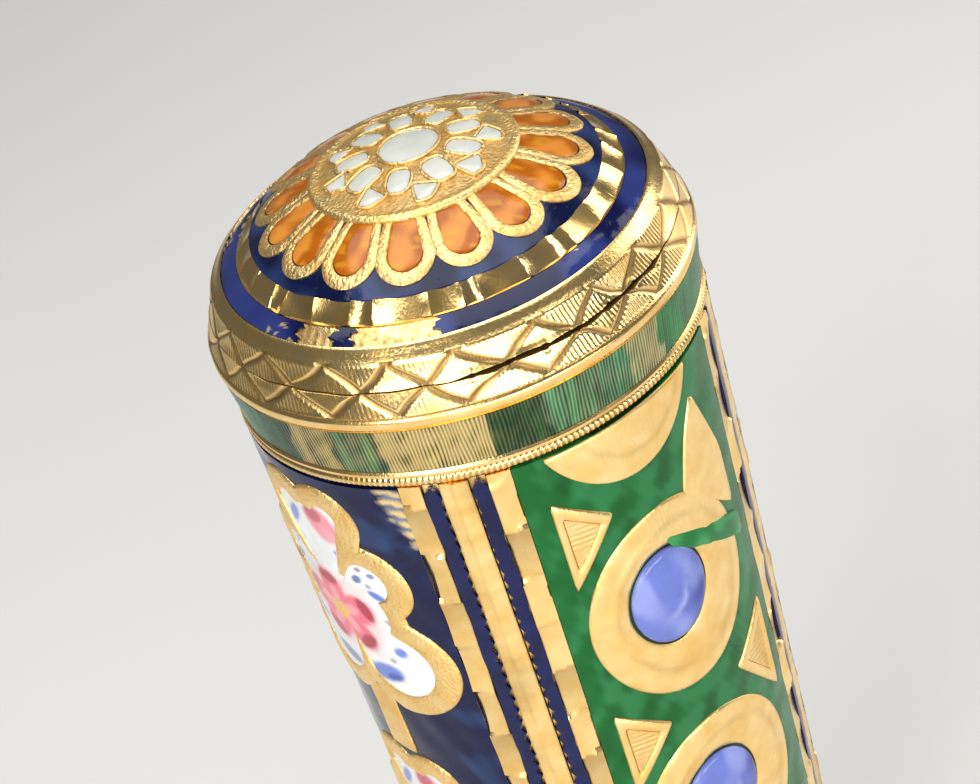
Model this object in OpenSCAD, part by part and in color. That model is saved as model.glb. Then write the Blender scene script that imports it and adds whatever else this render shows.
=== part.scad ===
// Enamelled gold lipstick case: a long pull-off cap with a domed head, a base with a twist foot,
// and a screw mechanism that raises the lipstick. The foot stands on z = 0 and +Z is up.

/* [Case] */
// Radius of the case where cap and base meet
joint_r = 8.82; // [7.2:0.02:11]
// How much wider the cap is at the head than at the joint
cap_flare = 0.76; // [0.4:0.02:1.2]
// How much slimmer the base is at the foot than at the joint
foot_slim = 0.41; // [0.2:0.01:0.6]
// Height of the joint between base and cap
joint_z = 21; // [17:0.5:26]
// Gap between the cap's lower bead and the base's upper bead
joint_gap = 0.2; // [0.1:0.05:0.4]
// Height of each polished bead at the joint
bead_h = 0.7; // [0.5:0.05:1]
// Metal left between the cap's bore and its surface at the joint
cap_wall = 0.77; // [0.65:0.01:1]
// Depth of the enamel cells
cell_depth = 0.35; // [0.2:0.01:0.45]

/* [Foot] */
// Height of the twist foot
foot_h = 4.7; // [4:0.1:6]
// Gap between the twist foot and the base sleeve
foot_gap = 0.3; // [0.2:0.05:0.5]
// How far the foot's rim stands out past the base sleeve
foot_step = 0.7; // [0.4:0.05:1]
// Thickness of the disc under the foot
disc_h = 0.9; // [0.6:0.05:1.2]

/* [Mechanism] */
// Height the lipstick rises
travel = 20; // [16:0.5:24]
// Turn of the foot that raises it fully, in degrees
twist = 450; // [360:10:540]
// Height of the guide pins with the lipstick down
pin_z = 13; // [12:0.5:15]
// Radius of a guide pin
pin_r = 0.55; // [0.4:0.05:0.7]
// Clearance on each side of a guide pin
pin_play = 0.15; // [0.08:0.01:0.2]
// Radial running clearance between turning or sliding tubes
running_gap = 0.07; // [0.03:0.01:0.1]
// Wall of the guide tube
guide_wall = 0.5; // [0.4:0.05:0.7]
// Wall of the spiral sleeve
spiral_wall = 0.7; // [0.5:0.05:0.9]
// Wall of the neck tube
neck_wall = 0.45; // [0.4:0.05:0.7]
// Height of the neck above the raised pins
neck_end = 5.3; // [3:0.1:7]
// Thickness of the ring that closes the neck's mouth
mouth_h = 0.8; // [0.5:0.05:1.2]

/* [Lipstick] */
// Height of the cup that holds the lipstick
cup_h = 10; // [8:0.5:12]
// Wall of the cup
cup_wall = 0.6; // [0.4:0.05:0.8]
// Depth of the tip below the neck's mouth
tip_depth = 4.9; // [2:0.1:6]
// Slope of the tip's slant, in degrees
tip_slant = 42; // [30:1:55]

/* [Cap lining] */
// Wall of the lining that grips the neck
liner_wall = 0.45; // [0.35:0.05:0.6]
// Free space between the lining and the neck
liner_gap = 0.25; // [0.15:0.01:0.3]

/* [Head] */
// How far the raised lipstick reaches into the head
tip_in_head = 2.5; // [0:0.1:4]
// Height of the milled wire round the rim
wire_h = 0.5; // [0.35:0.05:0.7]
// Height of the green band's lower edge above the rim
band_z = 0.71; // [0.6:0.01:0.9]
// Height of the polished ridge above the rim
ridge_z = 2.84; // [2.4:0.01:3]
// Height of the engraved band above the rim
engraved_z = 3.45; // [3.2:0.01:3.8]
// Height of the seam between collar and dome
seam_z = 4.35; // [4.1:0.01:4.6]
// Height of the shoulder over the engraved band
shoulder_z = 5.39; // [5.1:0.01:5.6]
// Height of the blue ring's lower edge
blue_z = 5.78; // [5.65:0.01:5.95]
// Height of the faceted ring's lower edge
facet_z = 6.17; // [6:0.01:6.4]
// Height of the dome's edge
dome_z = 6.83; // [6.6:0.01:7]
// Rise of the dome above its edge
dome_rise = 2.02; // [1.4:0.02:2.6]
// Wall of the dome
dome_wall = 0.9; // [0.75:0.05:1.1]
// Depth of the enamel in the head
head_depth = 0.3; // [0.2:0.01:0.4]
// Number of amber petals
petals = 16; // [10:1:20]
// Radius of the flower medallion
medallion_r = 4.17; // [3.6:0.01:4.6]
// How far the medallion stands out of the dome
medallion_rise = 0.2; // [0.1:0.01:0.35]

/* [Ornament] */
// Half-angle of a panel, in degrees
panel_half = 31.75; // [28:0.25:34]
// Width of a green border, in degrees
border_w = 4; // [3:0.25:5]
// Offset of a navy stripe from its group's middle, in degrees
stripe_offset = 5.5; // [4:0.25:7]
// Width of a navy stripe, in degrees
stripe_w = 4; // [3:0.25:5]
// Half-width of a gold ring
ring_a = 3.9; // [3.2:0.05:4]
// Half-height of a gold ring
ring_b = 4.55; // [3.8:0.05:4.8]
// Distance from one gold ring to the next
ring_pitch = 11.1; // [10:0.1:13]
// Depth of the first whole ring's middle below the rim
ring_first = 9.3; // [8:0.1:10]
// Half-width of a cabochon
cabochon_a = 1.8; // [1.4:0.05:2]
// Half-height of a cabochon
cabochon_b = 2.2; // [1.8:0.05:2.5]
// How far a cabochon stands out
cabochon_rise = 0.45; // [0.2:0.05:0.6]
// Distance from one painted plaque to the next
plaque_pitch = 14.85; // [14:0.05:17]
// Width of a plaque's gold frame
frame_w = 1.05; // [0.5:0.05:1.2]

/* [Hidden] */
$fn = 96;

gold = "#d9ad4f";
navy = "#15206b";
green = "#1f7a3f";
white = "#f2eee6";
amber = "#d5761d";
blue = "#4a62c8";

glue_gap = 0.02;
reach = 30;
over = 0.5;
cut_over = 0.3;
base_z = foot_h + foot_gap;
cap_z = joint_z + joint_gap;
foot_r = joint_r - foot_slim;
rim_r = joint_r + cap_flare;
neck_top = pin_z + travel + neck_end;
tip_z = neck_top - tip_depth;
rim_z = tip_z + travel - tip_in_head;
top_z = rim_z + dome_z + dome_rise;

// Radii from the cap's bore inwards, each piece inside the last
bore_r = joint_r - cap_wall;
liner_r = bore_r - glue_gap;
liner_bore_r = liner_r - liner_wall;
neck_r = liner_bore_r - liner_gap;
snap_r = liner_bore_r - running_gap;
neck_bore_r = neck_r - neck_wall;
spiral_r = neck_bore_r - 2 * running_gap;
spiral_bore_r = spiral_r - spiral_wall;
guide_r = spiral_bore_r - running_gap;
guide_bore_r = guide_r - guide_wall;
cup_r = guide_bore_r - running_gap;
lipstick_r = cup_r - cup_wall;
base_bore_r = neck_r + glue_gap;

// Head radii, each a step in or out from the rim
band_low_r = rim_r - 0.08;
band_top_r = rim_r + 0.2;
ridge_r = rim_r + 0.26;
engraved_r = rim_r + 0.16;
seam_r = rim_r - 0.14;
cover_r = rim_r - 0.16;
shoulder_r = rim_r - 0.54;
blue_r = rim_r - 1.06;
facet_r = rim_r - 1.87;
dome_r = rim_r - 2.57;
facet_depth = 0.33;
cover_lap = 0.55;

// Sphere that carries the dome
sphere_r = (dome_r * dome_r + dome_rise * dome_rise) / (2 * dome_rise);
sphere_z = rim_z + dome_z + dome_rise - sphere_r;

// Petals of the dome: tip circles inside the dome's edge
petal_gap = 0.3;
petal_edge_w = 1.15;
petal_w = 0.75;
petal_inner_r = 3.9;
petal_edge_r = dome_r - petal_gap - petal_edge_w;
petal_tip_r = petal_edge_r - 0.05;

// Panels face -Y (front), +X (right), +Y (back) and -X (left)
FRONT = 0;
RIGHT = 90;
BACK = 180;
LEFT = -90;

// Lobes of a plaque from its top edge down: [distance from the middle line, depth, radius]
LOBES = [[1.1, 1.9, 1.7], [2.1, 4.9, 2], [1.9, 9.3, 2.8]];
plaque_h = 12.1;
tail_w = 1.6;

// Radius of the case's surface at height z
function case_r(z) = z > joint_z
    ? joint_r + cap_flare * (z - joint_z) / (rim_z - joint_z)
    : foot_r + foot_slim * (z - base_z) / (joint_z - base_z);

function ellipse(a, b, n = 40) = [for (i = [0:n - 1]) [a * cos(360 * i / n), b * sin(360 * i / n)]];

// Layer of the case's surface from z0 to z1, from a depth below it to a rise above it
module skin(z0, z1, depth = cell_depth, rise = 0) {
    rotate_extrude()
        polygon([
            [case_r(z0) - depth, z0], [case_r(z0) + rise, z0],
            [case_r(z1) + rise, z1], [case_r(z1) - depth, z1]
        ]);
}

// Sector of a circle, seen from above, that spans the angles a0 to a1 from -Y towards +X
module sector(a0, a1) {
    linear_extrude(top_z)
        polygon([
            [0, 0], [reach * sin(a0), -reach * cos(a0)],
            [reach * sin((a0 + a1) / 2), -reach * cos((a0 + a1) / 2)],
            [reach * sin(a1), -reach * cos(a1)]
        ]);
}

// Outline drawn upright on the face that looks along phi, pushed out from the axis
module on_face(phi) {
    rotate([0, 0, phi])
        rotate([90, 0, 0])
            linear_extrude(reach)
                children();
}

module tube(r_out, r_in, z0, z1) {
    translate([0, 0, z0])
        difference() {
            cylinder(r = r_out, h = z1 - z0);
            translate([0, 0, -over])
                cylinder(r = r_in, h = z1 - z0 + 2 * over);
        }
}

// Layer between two spheres about the dome's centre
module dome_layer(depth, rise = 0) {
    translate([0, 0, sphere_z])
        difference() {
            sphere(r = sphere_r + rise);
            sphere(r = sphere_r - depth);
        }
}

module ring_disc(r) {
    translate([0, 0, rim_z])
        cylinder(r = r, h = top_z - rim_z + over);
}

// ---- Head ----

module dome_cover() {
    inner_r = sphere_r - dome_wall;
    lip_r = dome_r - 0.6;
    lip_z = sphere_z + sqrt(inner_r * inner_r - lip_r * lip_r);
    color(gold)
        difference() {
            union() {
                translate([0, 0, rim_z])
                    rotate_extrude()
                        polygon([
                            [0, seam_z], [cover_r, seam_z], [shoulder_r, shoulder_z], [blue_r, blue_z],
                            [facet_r, facet_z], [facet_r - facet_depth, facet_z],
                            [dome_r, dome_z - facet_depth], [dome_r, dome_z], [0, dome_z]
                        ]);
                intersection() {
                    translate([0, 0, sphere_z])
                        sphere(r = sphere_r);
                    translate([0, 0, rim_z + dome_z - over])
                        cylinder(r = dome_r, h = dome_rise + 2 * over);
                }
            }
            translate([0, 0, rim_z + seam_z - over])
                cylinder(r = bore_r, h = cover_lap + over);
            translate([0, 0, rim_z + seam_z + cover_lap])
                cylinder(r1 = bore_r, r2 = lip_r, h = lip_z - rim_z - seam_z - cover_lap);
            intersection() {
                translate([0, 0, sphere_z])
                    sphere(r = inner_r);
                translate([0, 0, lip_z - 0.01])
                    cylinder(r = lip_r, h = dome_rise + 2);
            }
            intersection() {
                dome_layer(head_depth, over);
                ring_disc(dome_r);
            }
            blue_ring(over);
        }
}

module petal_2d(w, inner, tip) {
    translate([0, tip])
        circle(r = w);
    polygon([[-w * 0.6, inner], [w * 0.6, inner], [w, tip], [-w, tip]]);
}

module petal_ring_2d(w, inner, tip) {
    for (i = [0:petals - 1])
        rotate([0, 0, 360 * i / petals])
            petal_2d(w, inner, tip);
}

module on_dome() {
    intersection() {
        dome_layer(head_depth);
        translate([0, 0, rim_z])
            linear_extrude(top_z - rim_z)
                children();
    }
}

module petal_cloisons() {
    color(gold)
        on_dome()
            difference() {
                petal_ring_2d(petal_edge_w, medallion_r - 0.4, petal_edge_r);
                petal_ring_2d(petal_w, petal_inner_r, petal_tip_r);
                circle(r = medallion_r);
            }
}

module petal_enamel() {
    color(amber)
        on_dome()
            difference() {
                petal_ring_2d(petal_w, petal_inner_r, petal_tip_r);
                circle(r = medallion_r);
            }
}

module navy_field_enamel() {
    color(navy)
        on_dome()
            difference() {
                circle(r = dome_r);
                petal_ring_2d(petal_edge_w, medallion_r - 0.4, petal_edge_r);
                circle(r = medallion_r);
            }
}

// Cells of the flower: a boss, nine petals round it and nine small cells between their tips
flower_petals = 9;
boss_r = 1.15;
flower_phase = 149.25;
module flower_cells_2d() {
    circle(r = boss_r);
    for (i = [0:flower_petals - 1])
        rotate([0, 0, flower_phase + 360 * i / flower_petals])
            translate([0, -2.2]) {
                polygon(ellipse(0.5, 0.72, 24));
                translate([1.08, -0.72])
                    polygon(ellipse(0.38, 0.45, 20));
            }
}

module flower_medallion() {
    color(gold)
        difference() {
            intersection() {
                dome_layer(head_depth, medallion_rise);
                ring_disc(medallion_r);
            }
            translate([0, 0, rim_z])
                linear_extrude(top_z)
                    flower_cells_2d();
        }
}

module flower_enamel() {
    color(white)
        intersection() {
            dome_layer(head_depth, medallion_rise);
            translate([0, 0, rim_z])
                linear_extrude(top_z)
                    flower_cells_2d();
        }
}

module facet_ring() {
    color(gold)
        translate([0, 0, rim_z])
            rotate_extrude()
                polygon([
                    [facet_r, facet_z], [dome_r, dome_z],
                    [dome_r, dome_z - facet_depth], [facet_r - facet_depth, facet_z]
                ]);
}

// Ring set in the slope between the shoulder and the faceted ring
module blue_ring(rise = 0) {
    slope = atan2(facet_z - blue_z, blue_r - facet_r);
    lean = [sin(slope), cos(slope)];
    margin = 0.04;
    p0 = [blue_r - margin, blue_z + margin * tan(slope)];
    p1 = [facet_r + margin, facet_z - margin * tan(slope)];
    translate([0, 0, rim_z])
        rotate_extrude()
            polygon([p0 + rise * lean, p1 + rise * lean, p1 - head_depth * lean, p0 - head_depth * lean]);
}

module blue_ring_enamel() {
    color(navy)
        blue_ring();
}

module cap_collar() {
    wire_seat_r = rim_r - wire_h;
    color(gold)
        translate([0, 0, rim_z])
            rotate_extrude()
                polygon([
                    [bore_r, 0], [wire_seat_r, 0], [wire_seat_r, wire_h], [rim_r - 0.02, wire_h],
                    [band_low_r, band_z], [band_low_r - head_depth, band_z],
                    [band_top_r - head_depth, ridge_z], [band_top_r, ridge_z],
                    [ridge_r, ridge_z + 0.15], [ridge_r, engraved_z - 0.15], [engraved_r, engraved_z],
                    [seam_r, seam_z], [bore_r, seam_z]
                ]);
}

module green_band_enamel() {
    color(green)
        translate([0, 0, rim_z])
            rotate_extrude()
                polygon([
                    [band_low_r, band_z], [band_top_r, ridge_z],
                    [band_top_r - head_depth, ridge_z], [band_low_r - head_depth, band_z]
                ]);
}

module wire_ring(r, z) {
    color(gold)
        translate([0, 0, z])
            rotate_extrude()
                polygon([
                    [r - wire_h, 0], [r - 0.12, 0], [r, 0.12], [r, wire_h - 0.12],
                    [r - 0.12, wire_h], [r - wire_h, wire_h]
                ]);
}

module milled_wire() wire_ring(rim_r, rim_z);

// ---- Ornament shared by cap and base ----

module stripes(z0, z1) {
    intersection() {
        skin(z0, z1);
        union() {
            for (group = [45:90:315], side = [-1, 1])
                sector(group + side * stripe_offset - stripe_w / 2, group + side * stripe_offset + stripe_w / 2);
        }
    }
}

module panel(phi, z0, z1, rise = 0) {
    intersection() {
        skin(z0, z1, cell_depth, rise);
        sector(phi - panel_half, phi + panel_half);
    }
}

// Sleeve with an empty cell for every panel and stripe
module sleeve(z0, z1, bore) {
    color(gold)
        difference() {
            rotate_extrude()
                polygon([[bore, z0], [case_r(z0), z0], [case_r(z1), z1], [bore, z1]]);
            for (phi = [FRONT, RIGHT, BACK, LEFT])
                panel(phi, z0, z1, over);
            stripes(z0, z1);
        }
}

// Heights of the gold rings' middles that reach the span z0 to z1
function ring_heights(first, z0, z1) =
    [for (k = [-1:5]) let (z = first - k * ring_pitch) if (z - ring_b < z1 && z + ring_b > z0) z];

module rings_2d(heights) {
    for (z = heights)
        translate([0, z])
            polygon(ellipse(ring_a, ring_b));
}

module cabochon_seats_2d(heights) {
    for (z = heights)
        translate([0, z])
            polygon(ellipse(cabochon_a, cabochon_b, 32));
}

// Triangles between the rings, beside each border
module triangles_2d(heights, border_x) {
    for (z = heights, side = [-1, 1])
        translate([0, z - ring_pitch / 2])
            polygon([[side * border_x, 2.2], [side * border_x, -2.2], [side * (border_x - 2.4), 0]]);
}

module gold_islands_2d(heights, border_x) {
    rings_2d(heights);
    triangles_2d(heights, border_x);
}

module green_panel(phi, z0, z1, first) {
    heights = ring_heights(first, z0, z1);
    color(green)
        difference() {
            panel(phi, z0, z1);
            on_face(phi)
                gold_islands_2d(heights, border_inner_x(z0));
        }
}

function border_inner_x(z) = case_r(z) * sin(panel_half - border_w) - 0.1;

module gold_rings(phi, z0, z1, first) {
    heights = ring_heights(first, z0, z1);
    whole = [for (z = heights) if (z + ring_b < z1 && z - ring_b > z0) z];
    color(gold)
        intersection() {
            skin(z0, z1);
            on_face(phi)
                difference() {
                    gold_islands_2d(heights, border_inner_x(z0));
                    cabochon_seats_2d(whole);
                }
        }
}

module cabochons(phi, z0, z1, first) {
    whole = [for (z = ring_heights(first, z0, z1)) if (z + ring_b < z1 && z - ring_b > z0) z];
    ball_r = 2 * cabochon_b;
    color(blue)
        for (z = whole)
            intersection() {
                skin(z - ring_b, z + ring_b, cell_depth, 2 * cabochon_rise);
                on_face(phi)
                    cabochon_seats_2d([z]);
                rotate([0, 0, phi])
                    translate([0, ball_r - case_r(z) - cabochon_rise, z])
                        sphere(r = ball_r);
            }
}

// Lobed outline of the plaques, made smaller all round by inset
module plaques_2d(tops, inset) {
    for (top = tops) {
        for (lobe = LOBES, side = [-1, 1])
            translate([side * lobe[0], top - lobe[1]])
                circle(r = lobe[2] - inset);
        translate([-LOBES[0][0], top - LOBES[2][1]])
            square([2 * LOBES[0][0], LOBES[2][1] - LOBES[0][1]]);
    }
}

// Stems below the plaques: each reaches down to the next one, and the last to the panel's end
module tails_2d(tops, z_low) {
    for (top = tops) {
        low = top == min(tops) ? z_low : top - plaque_pitch;
        translate([-tail_w / 2, low - over])
            square([tail_w, top - plaque_h + 1 + over - low]);
    }
}

function plaque_tops(first, z0) = [for (k = [0:3]) let (z = first - k * plaque_pitch) if (k == 0 || z - plaque_h > z0) z];

module navy_panel(phi, z0, z1, first) {
    tops = plaque_tops(first, z0);
    color(navy)
        difference() {
            panel(phi, z0, z1);
            on_face(phi) {
                plaques_2d(tops, 0);
                tails_2d(tops, z0);
            }
        }
}

module plaque_frames(phi, z0, z1, first) {
    tops = plaque_tops(first, z0);
    color(gold)
        intersection() {
            panel(phi, z0, z1);
            on_face(phi)
                difference() {
                    union() {
                        plaques_2d(tops, 0);
                        tails_2d(tops, z0);
                    }
                    plaques_2d(tops, frame_w);
                }
        }
}

module plaques(phi, z0, z1, first) {
    color(white)
        intersection() {
            panel(phi, z0, z1);
            on_face(phi)
                plaques_2d(plaque_tops(first, z0), frame_w);
        }
}

// ---- Cap ----

cap_low = cap_z + bead_h;
cap_ring_z = rim_z - ring_first;
cap_plaque_z = rim_z - 0.3;

module cap_sleeve() sleeve(cap_low, rim_z, bore_r);

module cap_stripe_enamel() color(navy) stripes(cap_low, rim_z);

module cap_liner() {
    color("ivory")
        tube(liner_r, liner_bore_r, cap_low, rim_z - 0.4);
}

// Polished bead with a half-round edge
module bead(z0, z1, bore) {
    bulge = 0.1;
    mid = (z0 + z1) / 2;
    color(gold)
        rotate_extrude()
            polygon([
                [bore, z0], [joint_r, z0], [joint_r + bulge, mid - 0.15],
                [joint_r + bulge, mid + 0.15], [joint_r, z1], [bore, z1]
            ]);
}

module cap_bead() bead(cap_z, cap_low, liner_bore_r);

// ---- Base ----

base_top = joint_z - bead_h;
base_ring_z = (base_z + base_top) / 2;
base_plaque_z = (base_z + base_top + plaque_h) / 2;

module base_sleeve() sleeve(base_z, base_top, base_bore_r);

module base_stripe_enamel() color(navy) stripes(base_z, base_top);

module base_bead() bead(base_top, joint_z, base_bore_r);

// Groove and ring that hold the cap on the neck
snap_wire_r = 0.3;
snap_z = joint_z + 9;
module snap_torus() {
    translate([0, 0, snap_z])
        rotate_extrude()
            translate([snap_r - snap_wire_r, 0])
                circle(r = snap_wire_r);
}

// Foot bearing, from the foot's top face upwards
bearing_h = 1.4;
clip_h = 0.4;
clip_groove = 0.25;
clip_z = base_z + bearing_h + 0.05;
neck_z = clip_z + clip_h + 0.2;

module neck_tube() {
    color(gold)
        difference() {
            tube(neck_r, neck_bore_r, neck_z, neck_top - mouth_h);
            snap_torus();
        }
}

module snap_ring() color("ivory") snap_torus();

module mouth_ring() {
    color(gold)
        tube(neck_r, guide_bore_r, neck_top - mouth_h, neck_top);
}

module bearing_ring() {
    color("ivory")
        tube(base_bore_r - glue_gap, spiral_r + running_gap, base_z, base_z + bearing_h);
}

guide_z = foot_h + 1.3;
slot_w = 2 * (pin_r + pin_play);
module guide_tube() {
    color("silver")
        difference() {
            tube(guide_r, guide_bore_r, guide_z, neck_top - mouth_h);
            translate([-reach, -slot_w / 2, pin_z - slot_w / 2])
                cube([2 * reach, slot_w, travel + slot_w]);
        }
}

// ---- Twist foot ----

foot_rim_r = foot_r + foot_step;
foot_wire_z = foot_h - wire_h - 0.3;
foot_band_z = disc_h + 0.3;
foot_band_top = foot_wire_z - 0.3;
foot_band_r = foot_rim_r - 0.12;
disc_r = foot_rim_r - 1;

module twist_foot() {
    color(gold)
        difference() {
            rotate_extrude()
                polygon([
                    [0, disc_h], [disc_r, disc_h], [disc_r, 0.3], [foot_rim_r - 0.3, 0.3], [foot_rim_r, 0.5],
                    [foot_rim_r, foot_band_z],
                    [foot_band_r - head_depth, foot_band_z], [foot_band_r - head_depth, foot_band_top],
                    [foot_rim_r, foot_band_top], [foot_rim_r, foot_wire_z],
                    [foot_rim_r - wire_h, foot_wire_z], [foot_rim_r - wire_h, foot_h], [0, foot_h]
                ]);
            translate([0, 0, disc_h + 1])
                cylinder(r = guide_bore_r, h = foot_h);
        }
}

module foot_band_enamel() {
    color(green)
        tube(foot_band_r, foot_band_r - head_depth, foot_band_z, foot_band_top);
}

module foot_wire() wire_ring(foot_rim_r, foot_wire_z);

module foot_disc() {
    color("dimgray")
        cylinder(r = disc_r - glue_gap, h = disc_h);
}

// Slot that climbs the spiral from the angle start: short square cuts, each overlapping the last
spiral_steps = 48;
module spiral_slot(start) {
    wall_mid_r = (spiral_r + spiral_bore_r) / 2;
    slope = atan2(travel, twist * PI / 180 * wall_mid_r);
    for (i = [0:spiral_steps])
        rotate([0, 0, start - twist * i / spiral_steps])
            translate([wall_mid_r, 0, pin_z + travel * i / spiral_steps])
                rotate([-slope, 0, 0])
                    cube([spiral_wall + 2 * cut_over, slot_w, slot_w], center = true);
}

module spiral_sleeve() {
    color("silver")
        difference() {
            tube(spiral_r, spiral_bore_r, foot_h, neck_top - mouth_h - 0.3);
            tube(spiral_r + over, spiral_r - clip_groove, clip_z, clip_z + clip_h);
            spiral_slot(0);
            spiral_slot(180);
        }
}

module retaining_clip() {
    color("silver")
        tube(neck_bore_r + 0.3, spiral_r - clip_groove, clip_z, clip_z + clip_h);
}

// ---- Carrier and lipstick ----

cup_z = pin_z - cup_h / 2;
cup_floor = 0.8;

module carrier_cup() {
    color("silver")
        difference() {
            translate([0, 0, cup_z])
                cylinder(r = cup_r, h = cup_h);
            translate([0, 0, cup_z + cup_floor])
                cylinder(r = lipstick_r, h = cup_h);
            pin_row();
        }
}

module pin_row() {
    pin_end_r = spiral_r - 0.2;
    for (side = [0, 180])
        rotate([0, 0, side])
            translate([lipstick_r - over, 0, pin_z])
                rotate([0, 90, 0])
                    cylinder(r = pin_r, h = pin_end_r - lipstick_r + over);
}

module carrier_pins() {
    color("silver")
        difference() {
            pin_row();
            cylinder(r = lipstick_r, h = top_z);
        }
}

module lipstick() {
    shaft_r = lipstick_r - 0.25;
    color("#a31f2c")
        difference() {
            union() {
                translate([0, 0, cup_z + cup_floor])
                    cylinder(r = lipstick_r, h = cup_h - cup_floor);
                intersection() {
                    translate([0, 0, cup_z + cup_floor])
                        cylinder(r = shaft_r, h = tip_z - cup_z - cup_floor);
                    translate([0, 0, tip_z - 1.6 * shaft_r])
                        scale(1.6)
                            sphere(r = shaft_r);
                }
                translate([0, 0, cup_z + cup_floor])
                    cylinder(r = shaft_r, h = tip_z - cup_z - cup_floor - 1.6 * shaft_r);
            }
            translate([-shaft_r * 0.2, 0, tip_z])
                rotate([0, tip_slant, 0])
                    translate([-reach, -reach, 0])
                        cube([2 * reach, 2 * reach, reach]);
        }
}

dome_cover();
petal_cloisons();
petal_enamel();
flower_medallion();
flower_enamel();
navy_field_enamel();
facet_ring();
blue_ring_enamel();
cap_collar();
green_band_enamel();
milled_wire();
cap_sleeve();
cap_stripe_enamel();
green_panel(FRONT, cap_low, rim_z, cap_ring_z);  // cap_green_front
green_panel(BACK, cap_low, rim_z, cap_ring_z);  // cap_green_back
gold_rings(FRONT, cap_low, rim_z, cap_ring_z);  // cap_rings_front
gold_rings(BACK, cap_low, rim_z, cap_ring_z);  // cap_rings_back
cabochons(FRONT, cap_low, rim_z, cap_ring_z);  // cap_cabochons_front
cabochons(BACK, cap_low, rim_z, cap_ring_z);  // cap_cabochons_back
navy_panel(RIGHT, cap_low, rim_z, cap_plaque_z);  // cap_navy_right
navy_panel(LEFT, cap_low, rim_z, cap_plaque_z);  // cap_navy_left
plaque_frames(RIGHT, cap_low, rim_z, cap_plaque_z);  // cap_frames_right
plaque_frames(LEFT, cap_low, rim_z, cap_plaque_z);  // cap_frames_left
plaques(RIGHT, cap_low, rim_z, cap_plaque_z);  // cap_plaques_right
plaques(LEFT, cap_low, rim_z, cap_plaque_z);  // cap_plaques_left
cap_liner();
cap_bead();
base_sleeve();
base_stripe_enamel();
green_panel(FRONT, base_z, base_top, base_ring_z);  // base_green_front
green_panel(BACK, base_z, base_top, base_ring_z);  // base_green_back
gold_rings(FRONT, base_z, base_top, base_ring_z);  // base_rings_front
gold_rings(BACK, base_z, base_top, base_ring_z);  // base_rings_back
cabochons(FRONT, base_z, base_top, base_ring_z);  // base_cabochons_front
cabochons(BACK, base_z, base_top, base_ring_z);  // base_cabochons_back
navy_panel(RIGHT, base_z, base_top, base_plaque_z);  // base_navy_right
navy_panel(LEFT, base_z, base_top, base_plaque_z);  // base_navy_left
plaque_frames(RIGHT, base_z, base_top, base_plaque_z);  // base_frames_right
plaque_frames(LEFT, base_z, base_top, base_plaque_z);  // base_frames_left
plaques(RIGHT, base_z, base_top, base_plaque_z);  // base_plaques_right
plaques(LEFT, base_z, base_top, base_plaque_z);  // base_plaques_left
base_bead();
neck_tube();
snap_ring();
guide_tube();
mouth_ring();
bearing_ring();
twist_foot();
foot_band_enamel();
foot_wire();
foot_disc();
spiral_sleeve();
retaining_clip();
carrier_cup();
carrier_pins();
lipstick();
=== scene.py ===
# %% [markdown]
# An enamelled gold lipstick case. The long cap ends in a domed head with a flower, a ring of
# amber petals and an engraved band. Below the rim the tube carries two green panels with gold
# rings, two navy panels with painted plaques, and navy pinstripes between them. The mechanism
# was made in CAD and stays as it is: only the surfaces that show are made again here, finely.

# %% The frame
import math

import bpy
import numpy as np
from mathutils import Matrix, Vector


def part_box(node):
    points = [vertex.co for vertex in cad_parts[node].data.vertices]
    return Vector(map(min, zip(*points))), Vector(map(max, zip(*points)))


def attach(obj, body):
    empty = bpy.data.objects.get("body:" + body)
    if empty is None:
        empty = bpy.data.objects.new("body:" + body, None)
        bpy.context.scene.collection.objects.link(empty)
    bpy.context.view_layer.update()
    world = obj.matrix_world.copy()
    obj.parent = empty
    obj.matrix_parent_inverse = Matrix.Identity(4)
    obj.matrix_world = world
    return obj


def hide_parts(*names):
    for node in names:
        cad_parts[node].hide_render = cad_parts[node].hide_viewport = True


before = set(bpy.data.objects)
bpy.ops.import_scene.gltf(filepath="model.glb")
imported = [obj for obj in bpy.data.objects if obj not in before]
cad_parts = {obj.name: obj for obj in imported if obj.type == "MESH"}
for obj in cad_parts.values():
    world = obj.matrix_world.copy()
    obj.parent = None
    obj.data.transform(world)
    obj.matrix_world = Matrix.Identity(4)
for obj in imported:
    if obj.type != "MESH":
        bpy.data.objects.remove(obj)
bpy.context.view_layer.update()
print("frame loaded:", len(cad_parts), "CAD nodes")

# %% [markdown]
# Every height and radius comes from the CAD nodes' boxes, so the new surfaces lie exactly
# where the solids are. The shapes are worked out in millimetres and turned into metres once,
# when a mesh is made.

# %% Sizes read from the frame
MM = 0.001


def low(node):
    """Lowest corner of a CAD node, in millimetres."""
    return np.array(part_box(node)[0]) / MM


def high(node):
    """Highest corner of a CAD node, in millimetres."""
    return np.array(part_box(node)[1]) / MM


BEAD_BULGE = 0.1  # how far a polished bead stands out past the tube
FOOT_STEP = 0.7  # how far the foot's wire stands out past the base tube
SHOULDER_RISE = 1.04  # engraved part of the dome cover
BLUE_RISE = 5.78  # from the rim to the blue ring's lower edge
FACET_W = 0.7  # plan width of the faceted ring
MEDALLION_RISE = 0.2  # from the dome's surface to the medallion's rim
CAP_WALL = 0.77
RIM_Z = low("milled_wire")[2]
RIM_R = high("milled_wire")[0]
CAP_LOW = low("cap_sleeve")[2]
JOINT_Z = high("base_bead")[2]
JOINT_R = high("base_bead")[0] - BEAD_BULGE
BASE_LOW, BASE_TOP = low("base_sleeve")[2], high("base_sleeve")[2]
FOOT_R = high("foot_wire")[0] - FOOT_STEP
BAND_Z, RIDGE_Z = low("green_band_enamel")[2], high("green_band_enamel")[2]
SEAM_Z = high("cap_collar")[2]
SHOULDER_Z = SEAM_Z + SHOULDER_RISE
FACET_Z, DOME_Z = low("facet_ring")[2], high("facet_ring")[2]
BLUE_Z = RIM_Z + BLUE_RISE
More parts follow.
